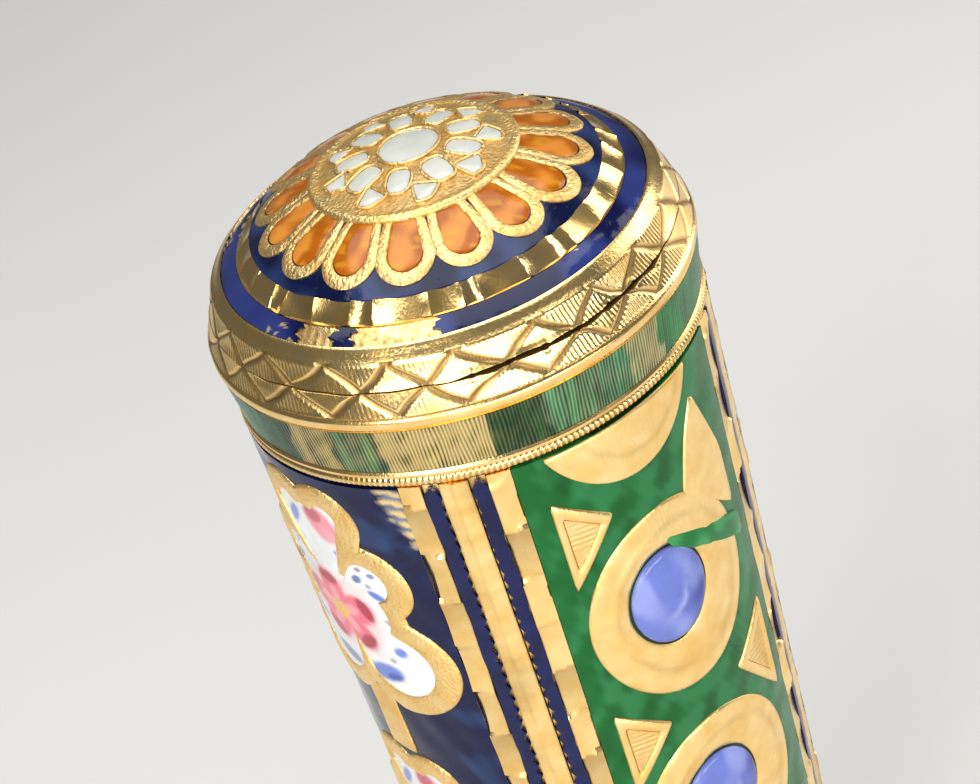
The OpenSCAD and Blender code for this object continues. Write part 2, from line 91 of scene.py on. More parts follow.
FACET_R = high("facet_ring")[0]
DOME_R = FACET_R - FACET_W
MEDALLION_R = high("flower_medallion")[0]
DOME_RISE = high("flower_enamel")[2] - MEDALLION_RISE - DOME_Z
SPHERE_R = (DOME_R ** 2 + DOME_RISE ** 2) / (2 * DOME_RISE)
SPHERE_Z = DOME_Z + DOME_RISE - SPHERE_R
BORE_R = JOINT_R - CAP_WALL
print(f"rim {2 * RIM_R:.2f} mm across at {RIM_Z:.2f} mm, dome sphere {SPHERE_R:.2f} mm")


def case_r(z):
    """Radius of the case at height z: one gentle taper on the cap and one on the base."""
    cap = JOINT_R + (RIM_R - JOINT_R) * (z - JOINT_Z) / (RIM_Z - JOINT_Z)
    base = FOOT_R + (JOINT_R - FOOT_R) * (z - BASE_LOW) / (JOINT_Z - BASE_LOW)
    return np.where(z > JOINT_Z, cap, base)


# %% [markdown]
# All pieces are closed solids made from grids of points. A ring is closed both ways, like a
# tyre. A bun is closed round and ends in a point at its middle, above and below. A slab is a
# patch with a top, a bottom and four edges. One function turns any of them into a mesh.

# %% Meshes from grids
def grid_quads(index):
    """Quads between neighbouring entries of a 2-D array of vertex numbers."""
    return np.stack([index[:-1, :-1], index[1:, :-1], index[1:, 1:], index[:-1, 1:]], -1).reshape(-1, 4)


def ring_solid(points):
    """Closed tyre: the grid's last row joins its first, and its last column its first."""
    rows, columns = points.shape[:2]
    index = np.arange(rows * columns).reshape(rows, columns)
    index = np.vstack([index, index[:1]])
    index = np.hstack([index, index[:, :1]])
    return points.reshape(-1, 3), grid_quads(index), np.zeros((0, 3), int)


def bun_solid(points, top, bottom):
    """Closed button: rows go round, columns from the top's middle to the bottom's middle."""
    rows, columns = points.shape[:2]
    index = np.arange(rows * columns).reshape(rows, columns)
    index = np.vstack([index, index[:1]])
    count = rows * columns
    first = np.stack([index[:-1, 0], np.full(rows, count), index[1:, 0]], -1)
    last = np.stack([index[1:, -1], np.full(rows, count + 1), index[:-1, -1]], -1)
    return np.vstack([points.reshape(-1, 3), top, bottom]), grid_quads(index), np.vstack([first, last])


def slab_solid(top, bottom):
    """Closed patch: a top grid, a bottom grid of the same shape and the wall between them."""
    rows, columns = top.shape[:2]
    upper = np.arange(rows * columns).reshape(rows, columns)
    edge = np.concatenate([upper[0, :], upper[1:, -1], upper[-1, -2::-1], upper[-2:0:-1, 0]])
    around = np.append(edge, edge[0])
    count = rows * columns
    wall = np.stack([around[:-1], around[1:], around[1:] + count, around[:-1] + count], -1)
    quads = np.vstack([grid_quads(upper), grid_quads(upper + count)[:, ::-1], wall])
    return np.vstack([top.reshape(-1, 3), bottom.reshape(-1, 3)]), quads, np.zeros((0, 3), int)


def outward(points, quads, triangles):
    """Turns the faces round if the solid's signed volume is negative."""
    a, b, c, d = (points[quads[:, k]] for k in range(4))
    volume = np.einsum("ij,ij->", a, np.cross(b, c)) + np.einsum("ij,ij->", a, np.cross(c, d))
    if len(triangles):
        a, b, c = (points[triangles[:, k]] for k in range(3))
        volume += np.einsum("ij,ij->", a, np.cross(b, c))
    return (quads[:, ::-1], triangles[:, ::-1]) if volume < 0 else (quads, triangles)


def make_piece(name, solids, material, body, replaced, sharp=35):
    """Joins closed solids into one object, smooth but for edges sharper than the given angle.
    The piece rides on a body, stands for the replaced CAD nodes and takes a material slot."""
    points, quads, triangles, count = [], [], [], 0
    for vertices, four, three in solids:
        four, three = outward(vertices, four, three)
        points.append(vertices)
        quads.append(four + count)
        triangles.append(three + count)
        count += len(vertices)
    points, quads, triangles = np.vstack(points), np.vstack(quads), np.vstack(triangles)
    mesh = bpy.data.meshes.new(name)
    mesh.vertices.add(len(points))
    mesh.vertices.foreach_set("co", (points * MM).astype(np.float32).ravel())
    mesh.loops.add(quads.size + triangles.size)
    corners = np.concatenate([quads.ravel(), triangles.ravel()])
    mesh.loops.foreach_set("vertex_index", corners.astype(np.int32))
    starts = np.concatenate([np.arange(len(quads)) * 4, quads.size + np.arange(len(triangles)) * 3])
    mesh.polygons.add(len(starts))
    mesh.polygons.foreach_set("loop_start", starts.astype(np.int32))
    mesh.update(calc_edges=True)
    mesh.shade_smooth()
    mesh.set_sharp_from_angle(angle=math.radians(sharp))
    mesh.materials.append(material)
    piece = bpy.data.objects.new(name, mesh)
    bpy.context.scene.collection.objects.link(piece)
    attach(piece, body)
    if replaced:
        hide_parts(*replaced)
    print(f"{name}: {2 * len(quads) + len(triangles)} triangles")
    return piece


def where(piece):
    """The piece's vertices in millimetres, as an array of rows."""
    flat = np.empty(len(piece.data.vertices) * 3, np.float32)
    piece.data.vertices.foreach_get("co", flat)
    return flat.reshape(-1, 3) / MM


def mark(piece, name, values):
    """Stores one number for each vertex, which the material reads by name."""
    piece.data.attributes.new(name, "FLOAT", "POINT").data.foreach_set("value", values.astype(np.float32))


def paint(piece, colours):
    """Stores one colour for each vertex, under the name paint."""
    rgba = np.hstack([colours, np.ones((len(colours), 1))]).astype(np.float32)
    piece.data.attributes.new("paint", "FLOAT_COLOR", "POINT").data.foreach_set("color", rgba.ravel())


def between(first, second, share):
    """Colours from the first to the second, by a column of shares from 0 to 1."""
    return np.array(first) * (1 - share) + np.array(second) * share


print("a grid of 3 by 4 points has", len(grid_quads(np.arange(12).reshape(3, 4))), "quads")

# %% [markdown]
# The case was made by hand, so nothing on it is perfectly even. A smooth wobble, a few sine
# waves in random directions added up, is used wherever a line or a surface should waver. The
# same seed always gives the same waves.

# %% Hand-made unevenness
WAVES = 6


def wobble(points, size, seed):
    """Unevenness from about -1 to 1: a sum of sine waves about as long as the given size."""
    rng = np.random.default_rng(seed)
    total = np.zeros(points.shape[:-1])
    for _ in range(WAVES):
        direction = rng.normal(size=3)
        direction *= 2 * math.pi / (size * rng.uniform(0.6, 1.6) * np.linalg.norm(direction))
        total += np.sin(points @ direction + rng.uniform(0, 2 * math.pi))
    return total / math.sqrt(WAVES / 2) * 0.6


def smooth(low_end, high_end, value):
    """Rises smoothly from 0 at low_end to 1 at high_end."""
    share = np.clip((value - low_end) / (high_end - low_end), 0, 1)
    return share * share * (3 - 2 * share)


def spot(x, y, cx, cy, rx, ry, turn, soft):
    """1 inside a turned ellipse and 0 outside it, with a soft edge."""
    c, s = math.cos(math.radians(turn)), math.sin(math.radians(turn))
    u, v = (x - cx) * c + (y - cy) * s, (y - cy) * c - (x - cx) * s
    return 1 - smooth(1 - soft, 1 + soft, np.hypot(u / rx, v / ry))


print("halfway up a smooth step:", float(smooth(0, 2, 1.0)))

# %% [markdown]
# Materials are node trees. A short helper adds a node and wires its inputs in one call. Every
# finish shares one group, the marks of handwork: fine scratches, a stippled ground and slow
# changes of tone, each made by a noise of its own size.

# %% Node helpers and the handwork group
def add(tree, kind, inputs=None, **settings):
    """Adds a node, sets its properties, and fills its inputs with values or links."""
    node = tree.nodes.new(kind)
    for key, value in settings.items():
        setattr(node, key, value)
    for key, value in (inputs or {}).items():
        if isinstance(value, bpy.types.NodeSocket):
            tree.links.new(value, node.inputs[key])
        else:
            node.inputs[key].default_value = value
    return node


def math_node(tree, operation, a, b):
    """One Math node and its result."""
    return add(tree, "ShaderNodeMath", {0: a, 1: b}, operation=operation).outputs[0]


def new_group(name, inputs, outputs):
    """An empty shader group with named number sockets; a Vector input is called Vector."""
    tree = bpy.data.node_groups.new(name, "ShaderNodeTree")
    for title, value in inputs.items():
        kind = "NodeSocketVector" if title == "Vector" else "NodeSocketFloat"
        socket = tree.interface.new_socket(title, in_out="INPUT", socket_type=kind)
        if kind == "NodeSocketFloat":
            socket.default_value = value
    for title in outputs:
        tree.interface.new_socket(title, in_out="OUTPUT", socket_type="NodeSocketFloat")
    return tree, tree.nodes.new("NodeGroupInput"), tree.nodes.new("NodeGroupOutput")


SCRATCH_SCALE = (9000, 9000, 1200)  # long and upright, waves per metre
STIPPLE_SCALE, MOTTLE_SCALE = 7000.0, 900.0


def build_handwork():
    """Scratches, stipple and mottle from noise at three scales, in object coordinates."""
    tree, given, result = new_group(
        "handwork", {"Vector": None, "Scratches": 0.5, "Stipple": 0.0}, ["Height", "Mottle"])
    place = given.outputs["Vector"]
    upright = add(tree, "ShaderNodeMapping", {"Vector": place, "Scale": SCRATCH_SCALE})
    scratch = add(tree, "ShaderNodeTexNoise", {"Vector": upright.outputs[0], "Scale": 1.0, "Detail": 3.0})
    dots = add(tree, "ShaderNodeTexNoise", {"Vector": place, "Scale": STIPPLE_SCALE, "Detail": 2.0})
    tone = add(tree, "ShaderNodeTexNoise", {"Vector": place, "Scale": MOTTLE_SCALE, "Detail": 4.0})
    fine = math_node(tree, "MULTIPLY", scratch.outputs[0], given.outputs["Scratches"])
    rough = math_node(tree, "MULTIPLY", dots.outputs[0], given.outputs["Stipple"])
    tree.links.new(math_node(tree, "ADD", fine, rough), result.inputs["Height"])
    tree.links.new(tone.outputs[0], result.inputs["Mottle"])
    return tree


HANDWORK = build_handwork()


def start_material(name):
    """A new material with its Principled node, its object coordinates and the handwork group."""
    material = bpy.data.materials.new(name)
    material.use_nodes = True
    tree = material.node_tree
    shader = tree.nodes["Principled BSDF"]
    place = tree.nodes.new("ShaderNodeTexCoord").outputs["Object"]
    return material, tree, shader, place


def handwork(tree, place, scratches, stipple):
    """Places the handwork group in a material with its own two amounts."""
    group = add(tree, "ShaderNodeGroup", {}, node_tree=HANDWORK)
    tree.links.new(place, group.inputs["Vector"])
    group.inputs["Scratches"].default_value = scratches
    group.inputs["Stipple"].default_value = stipple
    return group


def mix_colour(tree, share, first, second):
    """Mixes two colours by a share from 0 to 1."""
    node = tree.nodes.new("ShaderNodeMix")
    node.data_type = "RGBA"
    for socket, value in ((node.inputs[0], share), (node.inputs[6], first), (node.inputs[7], second)):
        if isinstance(value, bpy.types.NodeSocket):
            tree.links.new(value, socket)
        elif isinstance(value, float):
            socket.default_value = value
        else:
            socket.default_value = (*value, 1.0)
    return node.outputs[2]


def spread(tree, value, low_in, high_in, low_out, high_out):
    """Maps one range of numbers onto another."""
    inputs = {0: value, 1: low_in, 2: high_in, 3: low_out, 4: high_out}
    return add(tree, "ShaderNodeMapRange", inputs).outputs[0]


def bump(tree, height, distance):
    """Turns a height into a tilted normal; distance is the relief's depth in metres."""
    inputs = {"Height": height, "Distance": distance, "Strength": 1.0}
    return add(tree, "ShaderNodeBump", inputs).outputs[0]


print("shared group:", HANDWORK.name, "with", len(HANDWORK.nodes), "nodes")

# %% [markdown]
# The gold is a rich yellow alloy. It is polished on the ridges, matted with a punch on the
# flower, and darkened by tarnish wherever a graver has cut. Grime and painted shade on the
# facets, the scoops and the seam's faces are stored on the meshes as one value, so the same
# tree serves every gold piece with its own roughness and stipple.

# %% Gold
GOLD_LIGHT = (0.99, 0.73, 0.33)
GOLD_DEEP = (0.87, 0.56, 0.18)
TARNISH = (0.13, 0.065, 0.018)
# Grime and painted shade share one value on the meshes; at its full value the gold is hidden and dulled this
# far.
GRIME_AND_SHADE_SHARE, GRIME_AND_SHADE_ROUGH = 0.85, 0.3  # how far full grime hides the gold and dulls it


def gold(name, rough_low, rough_high, scratches, stipple, depth):
    """Polished or matted gold: tone from the mottle, dark where the mesh is marked with grime or painted
    shade.
    """
    material, tree, shader, place = start_material(name)
    marks = handwork(tree, place, scratches, stipple)
    tone = spread(tree, marks.outputs["Mottle"], 0.3, 0.7, 0.0, 1.0)
    grime_and_shade = add(tree, "ShaderNodeAttribute", {}, attribute_name="grime_and_shade").outputs["Fac"]
    dirt = math_node(tree, "MULTIPLY", grime_and_shade, GRIME_AND_SHADE_SHARE)
    metal = mix_colour(tree, tone, GOLD_LIGHT, GOLD_DEEP)
    tree.links.new(mix_colour(tree, dirt, metal, TARNISH), shader.inputs["Base Color"])
    polish = spread(tree, marks.outputs["Mottle"], 0.3, 0.7, rough_low, rough_high)
    dulled = math_node(tree, "MULTIPLY", grime_and_shade, GRIME_AND_SHADE_ROUGH)
    tree.links.new(math_node(tree, "ADD", polish, dulled), shader.inputs["Roughness"])
    tree.links.new(bump(tree, marks.outputs["Height"], depth), shader.inputs["Normal"])
    shader.inputs["Metallic"].default_value = 1.0
    return material


POLISHED = gold("polished_gold", 0.14, 0.26, 0.7, 0.15, 0.000012)
MATTED = gold("matted_gold", 0.34, 0.48, 0.2, 1.0, 0.00006)
ENGRAVED = gold("engraved_gold", 0.17, 0.28, 0.5, 0.25, 0.00002)
SATIN = gold("satin_gold", 0.26, 0.38, 0.9, 0.3, 0.000022)
print("gold finishes:", len(bpy.data.materials))

# %% [markdown]
# Enamel is glass melted into the cells. Its colour drifts between a lighter and a deeper tone,
# or is painted on the mesh as an attribute. It has small pits from the kiln and a clear glossy
# coat. Where the glass has chipped away the mesh is marked bare and shows dull gold.

# %% Enamel
PIT_SCALE, PIT_R = 2600.0, 0.14
BARE_ROUGH = 0.24


def enamel(name, tones=None, rough=0.07, cloud=700.0, glow=0.0):
    """Glossy vitreous enamel and bare metal: two tones by noise, or the mesh's own paint."""
    material, tree, shader, place = start_material(name)
    marks = handwork(tree, place, 0.25, 0.5)
    drift = add(tree, "ShaderNodeTexNoise",
                {"Vector": place, "Scale": cloud, "Detail": 5.0, "Roughness": 0.6})
    if tones:
        colour = mix_colour(tree, spread(tree, drift.outputs[0], 0.35, 0.72, 0.0, 1.0), *tones)
    else:
        layer = add(tree, "ShaderNodeAttribute", {}, attribute_name="paint").outputs["Color"]
        shade = spread(tree, drift.outputs[0], 0.3, 0.75, 0.86, 1.08)
        colour = add(tree, "ShaderNodeVectorMath", {0: layer, "Scale": shade}, operation="SCALE").outputs[0]
    bare = add(tree, "ShaderNodeAttribute", {}, attribute_name="bare").outputs["Fac"]
    grime_and_shade = add(tree, "ShaderNodeAttribute", {}, attribute_name="grime_and_shade").outputs["Fac"]
    metal = mix_colour(tree, math_node(tree, "MULTIPLY", grime_and_shade, 0.8), GOLD_LIGHT, TARNISH)
    tree.links.new(mix_colour(tree, bare, colour, metal), shader.inputs["Base Color"])
    tree.links.new(bare, shader.inputs["Metallic"])
    gloss = spread(tree, drift.outputs[0], 0.3, 0.7, rough, rough * 2.2)
    dulled = math_node(tree, "MULTIPLY", bare, BARE_ROUGH)
    tree.links.new(math_node(tree, "ADD", gloss, dulled), shader.inputs["Roughness"])
    pits = add(tree, "ShaderNodeTexVoronoi", {"Vector": place, "Scale": PIT_SCALE})
    pit = spread(tree, pits.outputs["Distance"], 0.0, PIT_R, 0.0, 1.0)
    relief = math_node(tree, "ADD", marks.outputs["Height"], pit)
    tree.links.new(bump(tree, relief, 0.000008), shader.inputs["Normal"])
    shader.inputs["Coat Weight"].default_value = 0.08
    shader.inputs["Coat Roughness"].default_value = 0.05
    shader.inputs["Specular IOR Level"].default_value = 0.24
    shader.inputs["Subsurface Weight"].default_value = glow
    shader.inputs["Subsurface Radius"].default_value = (0.0006, 0.0005, 0.0004)
    return material


NAVY = enamel("navy_enamel", ((0.002, 0.003, 0.032), (0.005, 0.01, 0.075)))
COBALT = enamel("cobalt_enamel", cloud=480.0)
GREEN = enamel("green_enamel", cloud=420.0)
WHITE = enamel("white_enamel", ((0.5, 0.52, 0.47), (0.62, 0.62, 0.57)), rough=0.1, glow=0.15)
PAINTED = enamel("painted_enamel", rough=0.1, glow=0.1)
AMBER = enamel("amber_enamel", cloud=650.0)
PERIWINKLE = enamel("periwinkle_enamel", rough=0.05)
print("materials:", len(bpy.data.materials))

# %% [markdown]
# Most of the case is round about one axis. A turned piece is a closed profile of radius and
# height carried round, with a relief that pushes each point in or out. Angles start at the
# front, -Y, and grow towards +X, as they do in CAD.

# %% Turned pieces
def around(columns):
    """Evenly spaced angles of a full turn in degrees, without repeating the first at the end."""
    return np.linspace(-180, 180, columns, endpoint=False)


def turned(profile, angles, push=None, lift=None):
    """Grid of a profile revolved about Z: x = r sin(angle), y = -r cos(angle)."""
    turn = np.radians(angles)[:, None]
    radius = profile[None, :, 0] + (0 if push is None else push) + 0 * turn
    height = profile[None, :, 1] + (0 if lift is None else lift) + 0 * radius
    return np.stack([radius * np.sin(turn), -radius * np.cos(turn), height], -1)


def line(start, end, count, last=False):
    """Points from start to end, shared out evenly; the end point only if last is true."""
    share = np.linspace(0, 1, count + 1)[: count + 1 if last else count, None]
    return np.array(start) * (1 - share) + np.array(end) * share


def arc(centre, radius, first, last, count):
    """Points on a circle's arc between two angles in degrees."""
    turn = np.radians(np.linspace(first, last, count))
    return np.stack([centre[0] + radius * np.cos(turn), centre[1] + radius * np.sin(turn)], -1)


def angle_of(points):
    """Angle round the case in degrees, from the front towards +X."""
    return np.degrees(np.arctan2(points[..., 0], -points[..., 1]))


def wavered(grid, size, seed, amount, radius=RIM_R):
    """A turned grid pushed in and out from the axis by a slow wobble, in millimetres."""
    return grid + (wobble(grid, size, seed) * amount)[..., None] * grid * [1, 1, 0] / radius


print("four angles round the case:", around(4))

# %% [markdown]
# The engraved band crosses the seam between collar and dome. Two families of slanting cuts
# make a lattice of diamonds. The triangles above and below the diamonds are filled with
# short upright cuts a fifth of a millimetre apart, and the diamonds with fainter ones.

# %% Engraved lattice
LATTICE_COUNT = 21
LATTICE_LOW, LATTICE_TOP = RIM_Z + 3.47, RIM_Z + 5.3
CUT_DEPTH, CUT_WIDTH = 0.1, 0.095
HATCH_PITCH, HATCH_DEPTH = 0.19, 0.04


def lattice(angles, heights):
    """Relief of the engraved band in millimetres, always 0 or below: cuts and hatching."""
    turn = angles + 1.1 * np.sin(np.radians(angles * 7)) + 0.5 * np.sin(heights * 5 + np.radians(angles * 3))
    cell = turn * LATTICE_COUNT / 360
    rise = np.clip((heights - LATTICE_LOW) / (LATTICE_TOP - LATTICE_LOW), -0.05, 1.05)
    cell_mm = 2 * math.pi * RIM_R / LATTICE_COUNT
    up, down = cell - rise, cell + rise
    gap = np.minimum(np.abs(up - np.round(up)), np.abs(down - np.round(down))) * cell_mm * 0.56
    cut = CUT_DEPTH * np.exp(-(gap / CUT_WIDTH) ** 2)
    across = np.radians(angles) * RIM_R
    wave = 0.5 - 0.5 * np.cos(2 * math.pi * (across + 0.18 * (heights - LATTICE_LOW)) / HATCH_PITCH
                              + 0.8 * np.sin(across * 0.9))
    diamond = np.abs(cell - np.round(cell)) + np.abs(rise - 0.5) < 0.5
    strength = np.where(diamond, 0.32, 1.0) * smooth(0.06, 0.22, gap)
    worn = 0.55 + 0.45 * np.sin(np.radians(angles * 3 + 70))
    inside = (rise > 0) & (rise < 1)
    return -(cut + HATCH_DEPTH * strength * worn * wave * inside)


def seam_gap(angles):
    """Half the width of the split solder seam: closed at the back, torn open at the front right."""
    open_part = smooth(-39, -30, angles) * (1 - smooth(20, 31, angles))
    thin_part = smooth(-93, -85, angles) * (1 - smooth(-45, -36, angles))
    jag = np.abs(np.sin(np.radians(angles * 23 + 30 * np.sin(np.radians(angles * 9)))))
    teeth = np.maximum(0, np.sin(np.radians(angles * 41 + 15))) ** 6
    return 0.004 + open_part * (0.045 + 0.05 * jag + 0.05 * teeth) + 0.014 * thin_part


def seam_path(angles):
    """How far the torn seam wanders up or down from its circle."""
    return 0.03 * np.sin(np.radians(angles * 13)) + 0.02 * np.sin(np.radians(angles * 31 + 40))


def patina(grid):
    """Soft brown patches of tarnish, longer round the case than they are high."""
    return smooth(0.35, 1.0, wobble(grid * [1, 1, 2.5], 3.2, 25)) * 0.4


def cut_grime(cut):
    """Grime in the engraving: almost none in the faint cuts, full in the deep ones."""
    return np.clip(-cut / CUT_DEPTH, 0, 1) ** 1.1 * 0.95


print(f"lattice pitch {2 * math.pi * RIM_R / LATTICE_COUNT:.2f} mm")

# %% [markdown]
# The collar carries the rim, the channel of the green band, a polished half-round ridge and
# the lower row of the engraving. Its last profile points run down the inside, so the piece
# is one closed tyre like a real drawn and turned collar.

# %% Cap collar
FINE = 1800
WIRE_H = 0.5
RIDGE_R, ENGRAVED_R, SEAM_R = RIM_R + 0.26, RIM_R + 0.16, RIM_R - 0.14
BAND_LOW_R, BAND_TOP_R = RIM_R - 0.08, RIM_R + 0.2
CHANNEL = 0.12  # depth of the enamel channels in the head
SEAM_REACH = 0.35  # how far from the seam its torn edge bends the surface
fine_angles = around(FINE)
ENGRAVED_Z = RIM_Z + 3.45
RIDGE_MIDDLE = (RIDGE_R - 0.27, (RIDGE_Z + ENGRAVED_Z) / 2)


def collar_profile():
    """Closed profile, outside from the rim up, then down the bore."""
    ridge = arc(RIDGE_MIDDLE, 0.3, -68, 68, 9)
    ridge[:, 0] = np.minimum(ridge[:, 0], RIDGE_R)
    return np.vstack([
        [(RIM_R - WIRE_H, RIM_Z), (RIM_R - WIRE_H, RIM_Z + WIRE_H)],
        [(RIM_R - 0.04, RIM_Z + WIRE_H), (RIM_R - 0.03, BAND_Z - 0.1), (BAND_LOW_R - 0.02, BAND_Z)],
        [(BAND_LOW_R - CHANNEL, BAND_Z + 0.01), (BAND_TOP_R - CHANNEL, RIDGE_Z - 0.01)],
        [(BAND_TOP_R - 0.01, RIDGE_Z)],
        ridge,
        line((ENGRAVED_R, ENGRAVED_Z), (SEAM_R, SEAM_Z - 0.02), 14, last=True),
        [(SEAM_R - 0.06, SEAM_Z), (SEAM_R - 0.5, SEAM_Z), (BORE_R, SEAM_Z), (BORE_R, RIM_Z)],
    ])


profile = collar_profile()
rows = len(profile)
top_rows = slice(rows - 19, rows - 4)
cut = np.zeros((FINE, rows))
cut[:, top_rows] = lattice(fine_angles[:, None], profile[None, top_rows, 1])
edge_share = smooth(SEAM_Z - SEAM_REACH, SEAM_Z, profile[None, :, 1]) * (profile[None, :, 0] > BORE_R + 0.1)
torn = edge_share * (seam_path(fine_angles) - seam_gap(fine_angles))[:, None]
grid = wavered(turned(profile, fine_angles, cut, torn), 3.0, 3, 0.008)
collar = make_piece("collar", [ring_solid(grid)], ENGRAVED, "cap", ["cap_collar"])
dark = cut_grime(cut) + 0.7 * patina(grid)
# Painted shade: the collar's top face at the seam, seen through the torn gap, and its face behind the rim
# wire are set dark.
dark[:, rows - 4:rows - 1] = 0.9
dark[:, :2] = 0.8
mark(collar, "grime_and_shade", np.clip(dark, 0, 1).ravel())

# %% [markdown]
# The dome cover starts at the seam with the upper row of engraving. Over the shoulder comes a
# plain polished band, then the channel of the blue ring, a seat for the faceted ring and the
# ground under the enamelled flower. Inside it is a thin shell.

# %% Dome cover
COVER_R, SHOULDER_R = RIM_R - 0.16, RIM_R - 0.54
BLUE_R = RIM_R - 1.06
LIP_R = DOME_R - 0.6
GROUND_DROP, SHELL_T = 0.22, 0.9  # the shell's outside and inside, below the dome's sphere


def dome_height(radius, drop=0.0):
    """Height of the dome's sphere at a distance from the axis, less a drop along the normal."""
    return SPHERE_Z + np.sqrt((SPHERE_R - drop) ** 2 - radius ** 2)


def belly(start, end, count):
    """Outside of the engraved part between two heights: a straight cone, swelling a little."""
    height = np.linspace(start, end, count)
    share = (height - SEAM_Z) / (SHOULDER_Z - SEAM_Z)
    radius = COVER_R + (SHOULDER_R - COVER_R) * share - 0.02 * np.sin(math.pi * share)
    return np.stack([radius, height], -1)


def cover_profile():
    """Profile from the shell's crown outside, down to the seam, and back up inside."""
    out = np.linspace(0.15, DOME_R - 0.02, 9)
    dome = np.stack([out, dome_height(out, GROUND_DROP)], -1)
    inner = np.linspace(LIP_R, 0.15, 6)
    shell = np.stack([inner, dome_height(inner, SHELL_T)], -1)
    slope = np.array([BLUE_R - FACET_R, FACET_Z - BLUE_Z])
    normal = np.array([slope[1], slope[0]]) / np.linalg.norm(slope)
    ground_out = np.array([BLUE_R - 0.04, BLUE_Z]) - CHANNEL * normal
    ground_in = np.array([FACET_R + 0.06, FACET_Z]) - CHANNEL * normal
    return np.vstack([
        dome,
        [(DOME_R, DOME_Z - 0.35), (FACET_R - 0.3, FACET_Z - 0.05), (FACET_R + 0.02, FACET_Z - 0.02)],
        line(ground_in, ground_out, 5, last=True),
        [(BLUE_R - 0.02, BLUE_Z + 0.01), (BLUE_R + 0.03, BLUE_Z - 0.01)],
        line((BLUE_R + 0.08, BLUE_Z - 0.04), (SHOULDER_R - 0.1, SHOULDER_Z + 0.03), 5),
        arc((SHOULDER_R - 0.12, SHOULDER_Z - 0.08), 0.12, 60, 20, 3),
        belly(SHOULDER_Z - 0.1, SEAM_Z + 0.03, 16),
        [(COVER_R - 0.05, SEAM_Z + 0.005), (COVER_R - 0.45, SEAM_Z), (BORE_R, SEAM_Z)],
        [(BORE_R, SEAM_Z + 0.55)],
        shell,
    ])


profile = cover_profile()
rows = len(profile)
height = profile[None, :, 1]
outside = (profile[:, 0] > SHOULDER_R - 0.04) & (profile[:, 1] > SEAM_Z + 0.02)
cut = np.zeros((FINE, rows))
cut[:, outside] = lattice(fine_angles[:, None], profile[None, outside, 1])
in_channel = (profile[:, 0] < BLUE_R - 0.045) & (profile[:, 0] > FACET_R + 0.02)
in_channel &= (profile[:, 1] > SHOULDER_Z) & (profile[:, 1] > BLUE_Z - 0.3)
edge_share = (1 - smooth(SEAM_Z, SEAM_Z + SEAM_REACH, height)) * (profile[None, :, 0] > BORE_R + 0.1)
torn = edge_share * (seam_path(fine_angles) + seam_gap(fine_angles))[:, None]
grid = turned(profile, fine_angles, cut, torn)
rough_ground = (wobble(grid, 0.35, 8) * 0.02 + wobble(grid, 0.15, 9) * 0.012) * in_channel
grid += (rough_ground + wobble(grid, 2.6, 4) * 0.006)[..., None] * grid * [1, 1, 0] / RIM_R
crown = np.array([0, 0, SPHERE_Z + SPHERE_R - GROUND_DROP])
ceiling = np.array([0, 0, SPHERE_Z + SPHERE_R - SHELL_T])
cover = make_piece("dome_shell", [bun_solid(grid, crown, ceiling)], ENGRAVED, "cap", ["dome_cover"])
dark = cut_grime(cut) + 0.7 * patina(grid) + in_channel * np.clip(0.35 - rough_ground * 14, 0, 0.9)
# Painted shade: the cover's underside at the seam, seen through the torn gap, is set dark.
seam_face_shade = (profile[:, 1] < SEAM_Z + 0.02) & (profile[:, 0] > BORE_R - 0.1)
dark[:, seam_face_shade] = 0.9
mark(cover, "grime_and_shade", np.append(np.clip(dark, 0, 1).ravel(), [0, 0]))

# %% [markdown]
# Two milled wires edge the head and the foot: a thin wire knurled with a wheel, so that it
# looks like a row of tiny beads. Each bead is a few grid columns wide.

# %% Milled wires
BEAD_PITCH = 0.23


def milled_wire(radius, base, tall, node, body, name):
    """Ring with a half-round section whose radius swells and shrinks with each bead."""
    count = int(round(2 * math.pi * radius / BEAD_PITCH))
    angles = around(count * 6)
    face = arc((radius - tall / 2, base + tall / 2), tall / 2, -90, 90, 8)
    section = np.vstack([face, [(radius - WIRE_H - 0.02, base + tall), (radius - WIRE_H - 0.02, base)]])
    beads = 0.5 + 0.5 * np.cos(np.radians(angles) * count)  # 1 on a bead, 0 between two
    worn = 0.65 + 0.35 * np.sin(np.radians(angles * 2 + 100))
    reach = np.clip((section[:, 0] - (radius - tall / 2)) / (tall / 2), 0, 1)
    push = -0.055 * (1 - beads[:, None]) * worn[:, None] * reach[None, :]
    wire = make_piece(name, [ring_solid(turned(section, angles, push))], POLISHED, body, [node])
    mark(wire, "grime_and_shade", np.clip(-push / 0.07, 0, 1).ravel())


milled_wire(RIM_R, RIM_Z, WIRE_H, "milled_wire", "cap", "rim_wire")
milled_wire(high("foot_wire")[0], low("foot_wire")[2], WIRE_H, "foot_wire", "foot", "foot_milled_wire")

# %% [markdown]
# The green band lies over upright guilloche cuts that shine through the glass. It has had a
# hard life: the colour changes from patch to patch, and at the front left half of the glass
# is worn off the cuts. Each patch is a short span of angle with its own colour.

# %% Green bands
BRIGHT_GREEN, DEEP_GREEN = (0.003, 0.13, 0.022), (0.001, 0.045, 0.007)
GREY_GREEN, OLIVE_GOLD, TEAL_GREY = (0.06, 0.13, 0.05), (0.16, 0.15, 0.03), (0.04, 0.16, 0.07)
PATCHES = [  # from and to in degrees, colour, share of bare metal
    (-91, -81, DEEP_GREEN, 0.0), (-81, -70, OLIVE_GOLD, 0.3), (-70, -59, GREY_GREEN, 0.12),
    (-59, -33, OLIVE_GOLD, 0.5), (-33, -21, DEEP_GREEN, 0.05), (-21, 2, TEAL_GREY, 0.1),
    (2, 12, GREY_GREEN, 0.3), (12, 31, BRIGHT_GREEN, 0.0), (118, 141, GREY_GREEN, 0.3),
]
GUILLOCHE_PITCH = 0.14
GLASS_T = 0.11  # thickness of the glass in the head's channels


